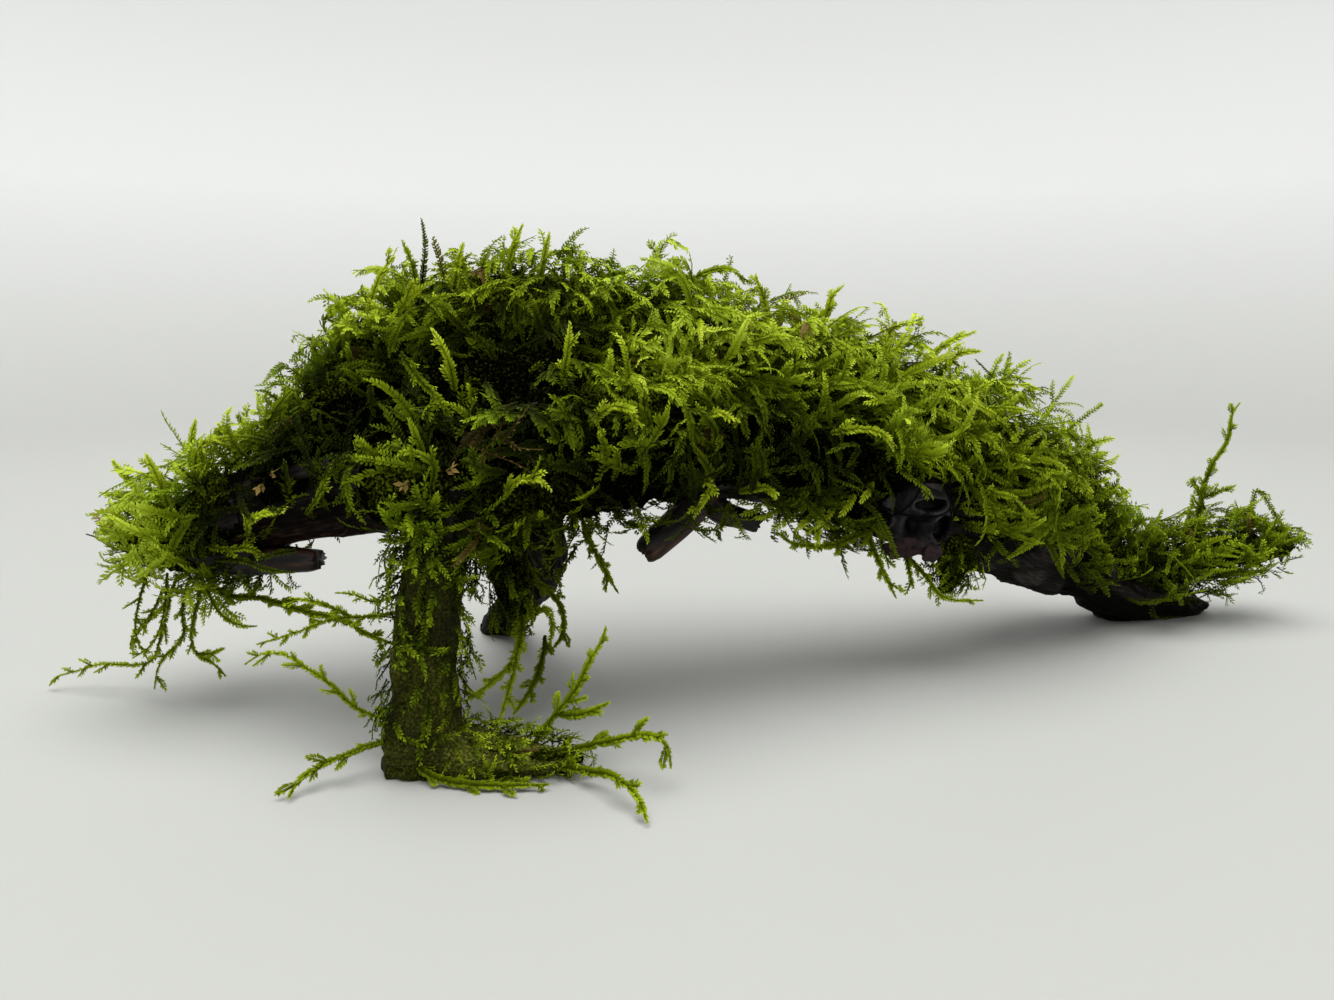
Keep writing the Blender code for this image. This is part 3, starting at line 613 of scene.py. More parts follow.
def sunk(points):
    """How far inside a hollow each point of the knot is, and how near its lip."""
    inside, lip = np.zeros(len(points)), np.zeros(len(points))
    for x, z, wide, high, _ in HOLLOWS:
        away = from_hollow(points, x, z, wide, high)
        inside = np.maximum(inside, ramp(1.1 - away, 0, 0.25))
        lip = np.maximum(lip, np.exp(-((away - 1.3) / 0.16) ** 2))
    return inside, lip * (1 - inside)


def plate(x, y, z, wide, high, turn):
    """A thin plate of wood with a ragged edge, bent back a little at its ends."""
    angle = -circle(PLATE_SIDES)
    spot = np.stack([np.cos(angle), np.sin(angle), np.full(PLATE_SIDES, x)], axis=1)
    ragged = 1 + 0.22 * noise_at(spot, (1.5, 1.5, 1.7)) + 0.20 * noise_at(spot, (4.5, 4.5, 1.7))
    rings = []
    for size, depth in PLATE_LAYERS:
        across = np.cos(angle) * wide * size * ragged
        up = np.sin(angle) * high * size * ragged * (1 + 0.25 * noise_at(spot, (9, 9, 2)))
        px = across * math.cos(turn) - up * math.sin(turn)
        pz = across * math.sin(turn) + up * math.cos(turn)
        py = depth + 0.06 * px ** 2 + 0.05 * pz ** 2 + 0.15 * noise_at(spot, (2, 2, 3))
        rings.append(np.stack([x + px, y + py, z + pz], axis=1))
    return ringed(np.array(rings))


def knot_finish():
    """Dark grey wood with paler lips and plates, purple brown low down, and painted shade, black, in the
    hollows.
    """
    finish, nodes, shader = finish_of("weathered knot")
    place = nodes.add("ShaderNodeTexCoord", output=3)
    patches = nodes.noise(place, 420.0)
    fine = nodes.noise(place, 2400.0, 3.0)
    flecks = patches * 0.6 + fine * 0.4
    dark = nodes.colours(patches * 0.5 + fine * 0.5, [
        (0.35, (0.0020, 0.0018, 0.0019)), (0.55, (0.011, 0.0095, 0.0100)), (0.75, (0.034, 0.030, 0.030))])
    grey = nodes.colours(flecks, [
        (0.35, (0.012, 0.0105, 0.0115)), (0.55, (0.040, 0.035, 0.037)), (0.75, (0.085, 0.076, 0.074))])
    wine = nodes.colours(flecks, [
        (0.35, (0.007, 0.0025, 0.0030)), (0.55, (0.026, 0.0120, 0.0125)), (0.75, (0.064, 0.038, 0.036))])
    plates = nodes.mix(nodes.kept("purple"), grey, wine)
    face = nodes.mix(nodes.kept("bleached"), dark, plates)
    nodes.fill(shader, {
        "Base Color": nodes.mix(nodes.kept("hollow"), face, HOLLOW_SHADE), "Roughness": 0.3 + 0.3 * patches,
        "Normal": nodes.bump(patches + fine * 0.4, 0.5, 0.0003), "Specular IOR Level": 0.10})
    return finish


knot_route = smooth_route(KNOT_ROUTE, KNOT_STEP)
knot_points, knot_faces = ringed(rings_round(knot_route, UP, circle(KNOT_SIDES)))
# How deep inside a hollow each point is sets the painted shade there.
knot_hollow_shade, knot_lips = sunk(knot_points)
knot_points = hollowed(knot_points)
plate_forms = [plate(*shape[:-1]) for shape in PLATES]
knot_forms = [(knot_points, knot_faces), *plate_forms]
knot_values = {
    "purple": [ramp(PURPLE_BELOW - knot_points[:, 2], 0, 2)]
    + [np.full(len(form[0]), shape[-1]) for form, shape in zip(plate_forms, PLATES)],
    "bleached": [knot_lips] + [np.ones(len(form[0])) for form in plate_forms],
    "hollow": [knot_hollow_shade] + [np.zeros(len(form[0])) for form in plate_forms],
}
knot = mesh_object("knot_weathered", mesh_of("knot", knot_forms, knot_values))
knot.data.materials.append(knot_finish())
knot_tree = bvhtree.BVHTree.FromPolygons(knot_points.tolist(), knot_faces)
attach(knot, "root")
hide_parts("knot")

# Java moss
# Shoots of java moss are flat feathers some two millimetres wide: a thin stem with a row of keeled,
# pointed leaves down each side, curled over at its tip. They root on the wood and tangle into cushions
# around an old dark mat, and the long ones stand or trail out of it.
LEAF_WIDTH = 0.48          # of its length
LEAF_KEEL = 0.09           # how far its edges are folded down, of its length
LEAF_DROOP = 0.22          # how far its point hangs
LEAF_LENGTH = 1.18         # mm
LEAF_SPACING = 0.27        # mm, between one leaf and the next on the other side
STEM_RADIUS = 0.12         # mm
STEM_STEP = 1.6            # mm, between the rings of a stem
SPREAD = math.radians(46)  # from the stem to the leaf
THROUGH = (0.24, 0.33, 0.006, 1)   # the light that comes through a leaf
BAKE_MAP = "OFBake"


def leaf_template():
    """A keeled leaf of unit length along +X, its face to +Z."""
    data = bpy.data.meshes.new("moss leaf")
    half = LEAF_WIDTH / 2
    corners = [(0, 0, 0), (0.46, half, -LEAF_KEEL), (1, 0, -LEAF_DROOP), (0.46, -half, -LEAF_KEEL)]
    data.from_pydata(corners, [], [(0, 2, 1), (0, 3, 2)])
    store(data, "leaf_u", [0, 1, 0.5, 0.2])
    store(data, "leaf_v", [0, 0.4, 1, 0.6])
    return mesh_object("moss leaf", data)


def new_tree(name, inputs, output):
    """An empty geometry node tree with named inputs and one output."""
    tree = bpy.data.node_groups.new(name, "GeometryNodeTree")
    for key, kind in inputs.items():
        tree.interface.new_socket(name=key, in_out="INPUT", socket_type="NodeSocket" + kind)
    tree.interface.new_socket(name=output, in_out="OUTPUT", socket_type="NodeSocketGeometry")
    return tree


def grown(thing, tree, values):
    """The plain mesh that geometry nodes make of an object with these inputs; the object goes."""
    step = thing.modifiers.new("growth", "NODES")
    step.node_group = tree
    for item in tree.interface.items_tree:
        if item.in_out == "INPUT" and item.name in values:
            step[item.identifier] = values[item.name]
    return plain_mesh(thing)


def leafy_tree():
    """Geometry nodes that dress bare stems, given as edges, with two rows of leaves."""
    tree = new_tree("leafy shoots", {
        "Stems": "Geometry", "Leaf": "Object", "Leaf Length": "Float", "Leaf Spacing": "Float",
        "Spread": "Float", "Stem Radius": "Float", "Stem Step": "Float", "Seed": "Int",
        "Finish": "Material"}, "Shoots")
    nodes = Nodes(tree)
    entry = nodes.add("NodeGroupInput")

    def attribute(name, kind="FLOAT"):
        return nodes.add("GeometryNodeInputNamedAttribute", {"data_type": kind}, {"Name": name})

    def random(low, high, offset):
        return nodes.add("FunctionNodeRandomValue", {"data_type": "FLOAT"},
                         {2: low, 3: high, "Seed": entry.out("Seed") + offset}, output=1)

    stems = nodes.add("GeometryNodeMeshToCurve", sockets={"Mesh": entry.out("Stems")})
    joints = nodes.add("GeometryNodeResampleCurve", {"mode": "LENGTH"},
                       {"Curve": stems, "Length": entry.out("Leaf Spacing")})
    along = nodes.add("GeometryNodeInputTangent")
    face = nodes.add("ShaderNodeVectorMath", {"operation": "NORMALIZE"}, {
        0: attribute("face", "FLOAT_VECTOR")})
    row = (nodes.add("GeometryNodeInputIndex") % 2.0) * 2.0 - 1.0
    across = nodes.add("ShaderNodeVectorMath", {"operation": "CROSS_PRODUCT"}, {0: face, 1: along})
    nearing_tip = nodes.add("GeometryNodeSplineParameter") ** 5.0
    spread = entry.out("Spread") * (1.0 - 0.55 * nearing_tip) + random(-0.13, 0.13, 1.0)
    ahead = nodes.add("ShaderNodeMath", {"operation": "COSINE"}, {0: spread})
    aside = nodes.add("ShaderNodeMath", {"operation": "SINE"}, {0: spread}) * row
    heading = nodes.vector("ADD", nodes.scaled(along, ahead), nodes.scaled(across, aside))
    lift = random(-1.0, 1.0, 2.0) * attribute("plump") - 0.10
    heading = nodes.vector("ADD", heading, nodes.scaled(face, lift))
    leaning = nodes.vector("ADD", face, nodes.scaled(across, random(-0.25, 0.25, 3.0)))
    turned = nodes.add("FunctionNodeAxesToRotation", {"primary_axis": "X", "secondary_axis": "Z"},
                       {"Primary Axis": heading, "Secondary Axis": leaning})
    leaf = nodes.add("GeometryNodeObjectInfo", sockets={"Object": entry.out("Leaf")}, output="Geometry")
    size = attribute("size") * entry.out("Leaf Length") * random(0.88, 1.1, 4.0)
    leaves = nodes.add("GeometryNodeInstanceOnPoints", sockets={
        "Points": joints, "Instance": leaf, "Rotation": turned, "Scale": size,
        "Selection": nodes.maths("LESS_THAN", random(0.0, 1.0, 5.0), attribute("cover"))})
    ring = nodes.add("GeometryNodeCurvePrimitiveCircle", sockets={
        "Resolution": 3, "Radius": entry.out("Stem Radius")})
    ring = nodes.add("GeometryNodeStoreNamedAttribute", sockets={
        "Geometry": ring, "Name": "leaf_u", "Value": nodes.add("GeometryNodeSplineParameter")})
    bones = nodes.add("GeometryNodeResampleCurve", {"mode": "LENGTH"},
                      {"Curve": stems, "Length": entry.out("Stem Step")})
    tubes = nodes.add("GeometryNodeCurveToMesh", sockets={
        "Curve": bones, "Profile Curve": ring, "Scale": attribute("girth")})
    whole = nodes.add("GeometryNodeJoinGeometry", sockets={"Geometry": [leaves, tubes]})
    whole = nodes.add("GeometryNodeRealizeInstances", sockets={"Geometry": whole})
    palette = nodes.add("ShaderNodeCombineXYZ", sockets={
        "X": 0.02 + 0.93 * attribute("tone") + 0.03 * attribute("leaf_u"),
        "Y": 0.02 + 0.78 * attribute("age") + 0.18 * attribute("leaf_v")})
    whole = nodes.add("GeometryNodeStoreNamedAttribute", {"data_type": "FLOAT2", "domain": "CORNER"}, {
        "Geometry": whole, "Name": BAKE_MAP, "Value": palette})
    whole = nodes.add("GeometryNodeSetMaterial", sockets={
        "Geometry": whole, "Material": entry.out("Finish")})
    nodes.add("NodeGroupOutput", sockets={"Shoots": whole})
    return tree


def moss_finish():
    """Colours by a shoot's tone across the map, and up the map by how young it is and by painted light and
    shade, lighter out at the outline and the tips, darker deep down.
    """
    finish, nodes, shader = finish_of("wet moss leaf")
    on_map = nodes.add("ShaderNodeUVMap", {"uv_map": BAKE_MAP})
    place = nodes.add("ShaderNodeSeparateXYZ", sockets={0: on_map})
    age = place.out("Y")
    deep = nodes.colours(age, [
        (0.0, (0.0008, 0.0013, 0.0002)), (0.25, (0.009, 0.015, 0.0006)), (0.50, (0.055, 0.090, 0.002)),
        (0.75, (0.175, 0.265, 0.008)), (1.0, (0.360, 0.500, 0.030))])
    sunny = nodes.colours(age, [
        (0.0, (0.0014, 0.0018, 0.0003)), (0.25, (0.017, 0.023, 0.0007)), (0.50, (0.115, 0.155, 0.003)),
        (0.75, (0.350, 0.435, 0.014)), (1.0, (0.640, 0.740, 0.085))])
    dead = nodes.colours(age, [
        (0.0, (0.004, 0.003, 0.001)), (0.5, (0.045, 0.029, 0.007)), (1.0, (0.230, 0.150, 0.045))])
    living = nodes.mix(nodes.clamped((place - 0.12) / 0.76), deep, sunny)
    colour = nodes.mix(nodes.clamped((0.11 - place) * 40.0), living, dead)
    nodes.fill(shader, {"Base Color": colour, "Roughness": 0.5, "Specular IOR Level": 0.02})
    through = nodes.add("ShaderNodeBsdfTranslucent", sockets={"Color": THROUGH})
    thin = nodes.add("ShaderNodeMixShader", sockets={0: 0.20, 2: through})
    nodes.tree.links.new(shader.outputs[0], thin.socket.node.inputs[1])
    nodes.tree.links.new(thin.socket, nodes.tree.nodes["Material Output"].inputs["Surface"])
    return finish


STEM_VALUES = ("tone", "age", "size", "girth", "cover", "plump", "face")


def bare_lines(name, lines):
    """A mesh of lines without faces, from the points of each in millimetres."""
    starts = np.cumsum([0] + [len(line) for line in lines])
    edges = [(start + i, start + i + 1) for start, line in zip(starts, lines) for i in range(len(line) - 1)]
    data = bpy.data.meshes.new(name)
    data.from_pydata((np.vstack(lines) * MM).tolist(), edges, [])
    return data


def dress(name, stems, seed, spacing=LEAF_SPACING):
    """One piece of leafy moss from bare stems, each a dict of its places and values."""
    data = bare_lines(name, [stem["place"] for stem in stems])
    for value in STEM_VALUES:
        store(data, value, np.concatenate([stem[value] for stem in stems]))
    result = grown(mesh_object(name + "_stems", data), shoot_nodes, {
        "Leaf": leaf, "Leaf Length": LEAF_LENGTH * MM, "Leaf Spacing": spacing * MM, "Spread": SPREAD,
        "Stem Radius": STEM_RADIUS * MM, "Stem Step": STEM_STEP * MM, "Seed": seed, "Finish": moss_green})
    for extra in [a.name for a in result.attributes if a.name in STEM_VALUES + ("leaf_u", "leaf_v")]:
        result.attributes.remove(result.attributes[extra])
    return mesh_object(name, result)


# Each run of moss: its cushions, the x where threads part them, which way is up, its traits, and x, y, z,
# half width and half height along it. The traits are how full the dark mat is, how densely shoots root,
# the size of their leaves, how much they branch, how much their tips curl, and how far leaves stand out
# of the flat.
MOSS_RUNS = [
    (["moss_left_tip", "moss_left_limb"], [-78], UP, (0.56, 1.1, 0.92, 0.12, 1.8, 0.3), [
        (-103.5, -6.5, 28.6, 1.5, 1.5), (-101, -6.5, 28.6, 4.6, 4.6), (-96, -7, 28.4, 8.2, 8.2),
        (-89, -7, 29.5, 10.2, 11.2), (-81, -7.2, 33, 11, 12), (-74, -7.5, 38, 10.8, 9),
        (-64, -9, 41, 10.4, 9), (-55, -11.5, 42, 9.6, 9)]),
    (["moss_crown_left", "moss_crown_top", "moss_crown_right", "moss_slope"], [-56, -6, 39.5], UP,
     (0.70, 1.15, 0.95, 0.35, 3.0, 0.3), [
        (-75, -4, 39, 6, 4.5), (-72, -3.6, 42, 8.6, 7), (-66, -3, 48, 10.2, 9),
        (-60, -1.5, 54, 11, 10.2), (-52, 1, 60, 11.5, 11), (-43, 3.5, 62.5, 12, 11.2),
        (-30, 5, 62.5, 12, 11), (-15, 6, 59.5, 12, 11), (0, 8, 55.5, 12, 11),
        (14, 10, 51, 12.5, 11), (26, 13, 47, 12.5, 11.5), (38, 16.5, 40.5, 12.5, 13),
        (48, 21, 34, 12.5, 14.6), (58, 26, 28.6, 12, 14), (68, 30.5, 23, 11, 12.6),
        (75, 33.5, 17, 9.5, 9), (77.5, 34.5, 15, 5, 5)]),
    # This run fills the hollow between crown and arch with a full dark mat: old tangle, and a dark sheet
    # standing in for the shade of that cavity.
    (["moss_crown_left", "moss_crown_top", "moss_crown_right"], [-56, -6], UP,
     (1.0, 0.8, 0.9, 0.2, 3.0, 0.3), [
        (-66, -8, 46, 3, 3), (-58, -8.5, 49, 5, 6), (-46, -7.5, 51, 6, 7), (-34, -6, 52.5, 6.5, 6.5),
        (-18, -2, 51.5, 6, 5.5), (0, 2, 49.5, 6, 4.5), (16, 7, 45, 4, 3.5), (20, 8, 44, 2, 2)]),
    (["moss_arch_left", "moss_arch_right"], [-9], UP, (0.72, 1.1, 0.92, 0.3, 3.0, 0.3), [
        (-56.5, -21.5, 39, 4, 5), (-52.5, -22, 40, 8.6, 9.5), (-44, -20.5, 42, 11, 12.6),
        (-34, -17, 43, 12, 13.5), (-24, -12, 43.5, 12, 12.6), (-12, -6, 43.5, 11.5, 11.5),
        (0, -0.5, 42.5, 11.5, 10.2), (12, 4, 39.5, 12, 10.5), (22, 8, 36, 12.4, 11.5),
        (29, 10.3, 34, 12, 10.8)]),
    (["moss_leg"], [], BACK, (0.60, 1.4, 0.72, 0.0, 1.2, 0.8), [
        (-45.4, -23.5, 36.5, 8, 7), (-46.2, -26.5, 28, 6.9, 6.6), (-47, -29, 19, 6.3, 6),
        (-47.6, -30.6, 11, 6.4, 5.8), (-47.9, -31.4, 6.5, 6.4, 5.6)]),
    (["moss_toe"], [], UP, (0.35, 2.2, 0.55, 0.0, 1.0, 0.8), [
        (-42.5, -32.8, 3.6, 4.8, 4), (-36, -33.2, 3, 4.6, 3.6), (-29, -33.4, 2.6, 3.8, 3.2),
        (-24.5, -33.4, 2.1, 1.5, 1.4)]),
    (["moss_right_foot"], [], UP, (0.4, 1.15, 0.86, 0.25, -0.8, 0.45), [
        (79, 35.4, 13, 9, 8.4), (87, 37.4, 11.2, 9.4, 8.6), (96, 39, 11.8, 8.4, 8.2),
        (104, 40, 14.5, 7.4, 8.4), (112, 39.8, 15, 6.2, 7.8), (118, 39.6, 15.5, 4, 4.4),
        (120.5, 39.5, 16, 1, 1.2)]),
    (["moss_knot_tuft"], [], BACK, (0.5, 2.0, 0.7, 0.0, 1.0, 0.7), [
        (40.5, 9, 25, 4.4, 4), (39.6, 8.6, 21, 5.6, 4.6), (38.8, 8.2, 17.4, 4.4, 3.6),
        (38.4, 8, 14.8, 1.3, 1.1)]),
    (["moss_behind_leg"], [], BACK, (0.5, 1.4, 0.75, 0.1, 1.4, 0.8), [
        (-39.5, -13, 31, 5.6, 5.6), (-38.6, -10.5, 25, 5.8, 5.2), (-37.6, -8.6, 18.5, 4.4, 4.2),
        (-37.2, -7.6, 13.6, 1.6, 1.6)]),
]
# How shoots grow near each place: x, y, z, the way they run, how far they stand out of the surface, their
# length, and how young and light they are; that last is partly painted light and shade, high on lit tops
# and low in front of and under the limbs.
HABITS = [
    ((-105, -8, 29), (-0.3, -0.2, 0.9), 0.35, 4, 1.5), ((-98, -8, 37), (-0.4, -0.1, 1), 0.9, 11, 1.7),
    ((-98, -8, 19), (0.1, -0.3, -0.8), 0.3, 5, 1.7), ((-86, -7, 43), (-0.35, -0.1, 1), 0.9, 9, 1.7),
    ((-96, -17, 30), (-0.3, -0.6, 0.6), 0.45, 8, 1.9), ((-80, -18, 34), (-0.4, -0.7, -0.4), 0.3, 9, 0.05),
    ((-74, -17, 29), (0.3, -0.7, -0.3), 0.1, 5, 0.0), ((-84, -8, 21), (0.3, -0.3, -0.9), 0.35, 8, 1.2),
    ((-86, 4, 32), (-0.5, 0.8, 0.2), 0.5, 10, 0.6), ((-66, -15, 44), (-0.6, -0.5, 0.7), 0.5, 10, 0.05),
    ((-62, -6, 60), (-0.4, 0, 1), 0.9, 10, 1.05), ((-62, 9, 56), (-0.5, 0.8, 0.4), 0.55, 11, 0.9),
    ((-44, 4, 73), (-0.3, -0.8, 0.5), 0.35, 9, 1.4), ((-50, -10, 56), (0.1, -0.9, 0.3), 0.3, 9, 0.25),
    ((-26, 3, 73), (0.6, -0.7, 0.4), 0.35, 10, 1.25), ((-38, -7, 68), (-0.4, -0.6, -0.6), 0.3, 9, 0.8),
    ((-58, -4, 66), (-0.7, -0.4, 0.4), 0.6, 10, 1.5), ((-19, -6, 64), (0.7, -0.4, -0.5), 0.3, 12, 1.4),
    ((-34, -9, 57), (0.15, -1, -0.35), 0.3, 9, 0.12), ((-54, -12, 46), (-0.2, -1, 0.2), 0.3, 8, 0.10),
    ((-36, 17, 62), (0.2, 0.9, -0.2), 0.5, 12, 0.7), ((-12, 6, 71), (0.7, -0.2, 0.6), 0.5, 12, 1.2),
    ((-10, -6, 60), (0.8, -0.5, -0.1), 0.4, 13, 1.4), ((-6, 20, 56), (0.5, 0.9, -0.1), 0.5, 13, 0.7),
    ((20, 11, 62), (0.8, -0.1, 0.55), 0.5, 13, 1.2), ((22, -2, 53), (0.95, -0.35, 0.05), 0.35, 15, 1.25),
    ((22, 26, 48), (0.7, 0.7, -0.1), 0.45, 14, 0.75), ((45, 20, 52), (0.95, -0.1, 0.2), 0.5, 14, 1.15),
    ((50, 8, 34), (0.95, -0.3, -0.35), 0.35, 15, 0.85), ((52, 36, 32), (0.7, 0.6, -0.3), 0.45, 14, 0.7),
    ((74, 31, 30), (0.5, -0.2, 0.6), 0.5, 6.5, 0.95), ((64, 17, 19), (0.7, -0.3, -0.7), 0.3, 8, 0.6),
    ((-48, -33, 48), (-0.4, -0.5, 0.8), 0.6, 10, 0.8), ((-26, -24, 46), (0.1, -0.8, 0.4), 0.5, 10, 0.55),
    ((-30, -20, 31), (0.1, -0.6, -0.8), 0.4, 8, 0.45), ((0, -12, 44), (0.4, -0.8, 0.2), 0.45, 11, 0.5),
    ((16, -6, 36), (0.4, -0.5, -0.7), 0.3, 9, 0.4), ((-46, -34, 26), (-0.2, -0.4, -0.8), 0.3, 4.5, 0.7),
    ((-47, -37, 10), (0, -0.4, -0.8), 0.3, 4, 0.5), ((-33, -36, 3), (0.9, -0.2, 0.2), 0.15, 4, 0.8),
    ((86, 36, 13), (1, -0.15, 0.1), 0.12, 15, 0.65), ((98, 36, 20), (0.5, -0.1, 0.9), 0.5, 10, 0.8),
    ((112, 39, 17), (0.4, -0.1, 0.8), 0.35, 6, 0.8), ((39, 7, 20), (-0.4, -0.4, -0.7), 0.3, 3.4, 0.8),
    ((-38, -10, 22), (0.1, -0.2, -1), 0.3, 6, 0.5),
]
# Spots where the moss is older or younger than round about, and where shade is painted: x, y, z, how far
# the spot reaches, and how young and light the moss is there, 0 for old and black, which in the cavities
# under the crown and in front of the arch and limb is painted shade, and less for none at all.
SPOTS = [
    (-32, -10, 58, 7, 0), (-40, -11, 55, 8, 0), (-49, -14, 49, 8, 0), (-53, -15, 43, 7, 0),
    (-26, -8, 61, 5, 0.1), (-33, -27, 46, 6, 0.15), (-21, -20, 40, 6, 0.1), (-41, -28, 45, 5, 0.2),
    (-7, -12, 42.5, 10, 0.02), (4, -9, 42, 10, 0.04), (16, -5, 42, 8.5, 0.06), (-15, -16, 38, 7, 0.1),
    (-69, -17, 36, 8, 0), (-61, -17, 38, 8, 0), (-56, -16, 42, 6, 0), (-80, -17, 31, 6, 0),
    (-63, -14, 28.5, 4.5, -0.5), (-70, -14, 28.5, 4.5, -0.5), (-74, -12, 24.8, 4, -0.6),
    (30, 0, 29, 7, -0.8), (27, 0, 33.5, 4, -0.6), (58, 25, 13, 6, -0.6), (50, 22, 17, 4.5, -0.6),
    (68, 31, 9, 6, -0.6), (74, 33, 19, 4, -0.3), (89, 40, 1, 5, -0.5), (86, 33, 0, 5, -0.8),
    (96, 36, 0, 5, -0.8), (-14, -4, 29, 6, -0.8), (0, -1, 30, 5, -0.8), (-38, 0, 16, 5, -0.5),
    (-36, -33.5, 3, 7, 0.95), (-36, -17, 60, 8, -0.8), (-50, -20, 49, 8, -0.8), (-59, -17, 50, 6, -0.4),
    (-110.5, -8, 27, 5.5, -0.6), (-107.5, -8, 19.5, 5.5, -0.6), (-50, -18, 51, 10, -0.08),
    (-60, -16, 48, 9, -0.05), (-40, -15, 57, 8, -0.05), (-68, -15, 43, 6, 0.05), (56, 19, 13, 8, -0.6),
    (48, 17, 15.5, 6, -0.6), (65, 26, 9, 8, -0.6), (74, 31, 8, 7, -0.5),
]
RUN_STEP = 1.0         # mm
BARE = -0.12           # shoots that would pass over moss this old are left out
HABIT_REACH = 7.0      # mm over which one habit gives way to the next
GROWTH_STEPS = 10
# Where moss is young and lit above the usual, its painted light reaches deeper into the cushion.
YOUNG_LIFT = 0.5       # how much deeper down the youngest moss stays light
PATH_LOW = np.array(cad_box[0]) / MM - (4.5, 1, -0.5)     # mm, which no stem passes
PATH_HIGH = np.array(cad_box[1]) / MM + (4.5, 1, 0)


class Run:
    """The middle line of a run of moss, with the outline that its tufts fill."""

    def __init__(self, knots, top):
        route = smooth_route(knots, RUN_STEP)
        self.middle = route[:, :3]
        self.half = route[:, 3:]
        self.along, self.side, self.top = ways_of(self.middle, top)

    def level(self, points):
        """How far out each point is, 0 in the middle and 1 at the outline, and the way out there."""
        near = ((points[:, None] - self.middle[None]) ** 2).sum(axis=2).argmin(axis=1)
        off = points - self.middle[near]
        wide, high = self.half[near].T
        a = (off * self.side[near]).sum(axis=1) / wide
        b = (off * self.top[near]).sum(axis=1) / high
        c = (off * self.along[near]).sum(axis=1) / np.sqrt(wide * high)
        way = self.side[near] * a[:, None] + self.top[near] * b[:, None] + self.along[near] * c[:, None]
        return np.sqrt(a * a + b * b + c * c), unit(way)

    def outline(self, chosen, angle):
        """Points on the outline, and the ways from the middle line out to them."""
        out = self.side[chosen] * (np.cos(angle) * self.half[chosen, 0])[:, None]
        out += self.top[chosen] * (np.sin(angle) * self.half[chosen, 1])[:, None]
        return self.middle[chosen] + out, out


MAT_SIDES = 72
MAT_END = 1.5          # mm that the mat stops short of a thread
MAT_FLOOR = 0.4        # mm, the lowest that the mat reaches
THINNEST_MAT = 0.1     # of the way out to the outline


def mat_form(run, low, high, full):
    """The old dark mat inside a cushion, a closed lumpy form, and how young and lit each point of it is,
    which paints its light and shade.
    """
    rows = np.flatnonzero((run.middle[:, 0] > low + MAT_END) & (run.middle[:, 0] < high - MAT_END))
    rows = np.repeat(rows, MAT_SIDES)
    angle = np.tile(circle(MAT_SIDES), len(rows) // MAT_SIDES)
    outline, out = run.outline(rows, angle)
    lumps = 0.16 * noise_at(outline, (0.22, 0.22, 0.22)) + 0.13 * noise_at(outline, (0.7, 0.7, 0.7))
    level = full + (lumps + 0.05 * noise_at(outline, (1.9, 1.9, 1.9))) * min(1, full + 0.2)
    level = np.maximum(level + 0.6 * np.minimum(habit_at(outline)[3], 0), THINNEST_MAT)
    points = outline - out * (1 - level)[:, None]
    points[:, 2] = np.maximum(points[:, 2], MAT_FLOOR)
    points, faces = ringed(points.reshape(-1, MAT_SIDES, 3))
    return points, faces, habit_at(points)[3]


def mat_finish():
    """A fine tangle of old moss: black and brown where it is old and where shade is painted, dark green
    where it is young and lit.
    """
    finish, nodes, shader = finish_of("old moss mat")
    place = nodes.add("ShaderNodeTexCoord", output=3)
    tangle = nodes.noise(place, 2100.0, 3.0)
    patches = nodes.noise(place, 260.0, 2.0)
    old = nodes.colours(tangle, [
        (0.46, (0.0003, 0.0004, 0.0001)), (0.60, (0.0030, 0.0036, 0.0006)), (0.70, (0.016, 0.018, 0.003)),
        (0.82, (0.070, 0.066, 0.025))])
    young = nodes.colours(tangle, [
        (0.38, (0.0012, 0.0018, 0.0002)), (0.50, (0.016, 0.022, 0.0010)), (0.60, (0.065, 0.084, 0.003)),
        (0.74, (0.190, 0.230, 0.018))])
    # Painted light and shade: the mat turns dark green where it is young and lit, black where it is held in
    # shade.
    fresh_and_lit = nodes.clamped(nodes.kept("youth_and_light") * 1.7 - 0.55 + (patches - 0.5) * 1.6)
    nodes.fill(shader, {
        "Base Color": nodes.mix(fresh_and_lit, old, young), "Roughness": 0.8, "Specular IOR Level": 0.0,
        "Normal": nodes.bump(tangle, 0.9, 0.0006)})
    return finish


habit_places, habit_ways, habit_stand, habit_length, habit_youth_and_light = [
    np.array(column, float) for column in zip(*HABITS)]
habit_ways = unit(habit_ways)
spots = np.array(SPOTS, float)


def habit_at(points):
    """The way, stand and length of shoots at each point, and how young and lit they are, blended from the
    nearest habits, with the spots' painted shade and clearings laid over them.
    """
    gaps = ((points[:, None] - habit_places[None]) ** 2).sum(axis=2)
    weight = np.exp(-(gaps - gaps.min(axis=1, keepdims=True)) / (2 * HABIT_REACH ** 2))
    weight /= weight.sum(axis=1, keepdims=True)
    youth_and_light = weight @ habit_youth_and_light
    near = np.linalg.norm(points[:, None] - spots[None, :, :3], axis=2) / spots[:, 3]
    hold = np.exp(-near ** 3)
    strongest = hold.argmax(axis=1)
    hold = hold.max(axis=1)
    youth_and_light = youth_and_light * (1 - hold) + spots[strongest, 4] * hold
    return unit(weight @ habit_ways), weight @ habit_stand, weight @ habit_length, youth_and_light


SCATTER = 0.42         # how far shoots start off their habit's way
FOLLOW = 0.35          # how strongly they turn to it as they grow
WANDER = 0.9           # how far each bends its own way
HELD_IN = 1.3          # how strongly they turn back at their ceiling
OFF_WOOD = 0.45        # how strongly they turn away from wood nearer than WOOD_NEAR
WOOD_NEAR = 1.2        # mm


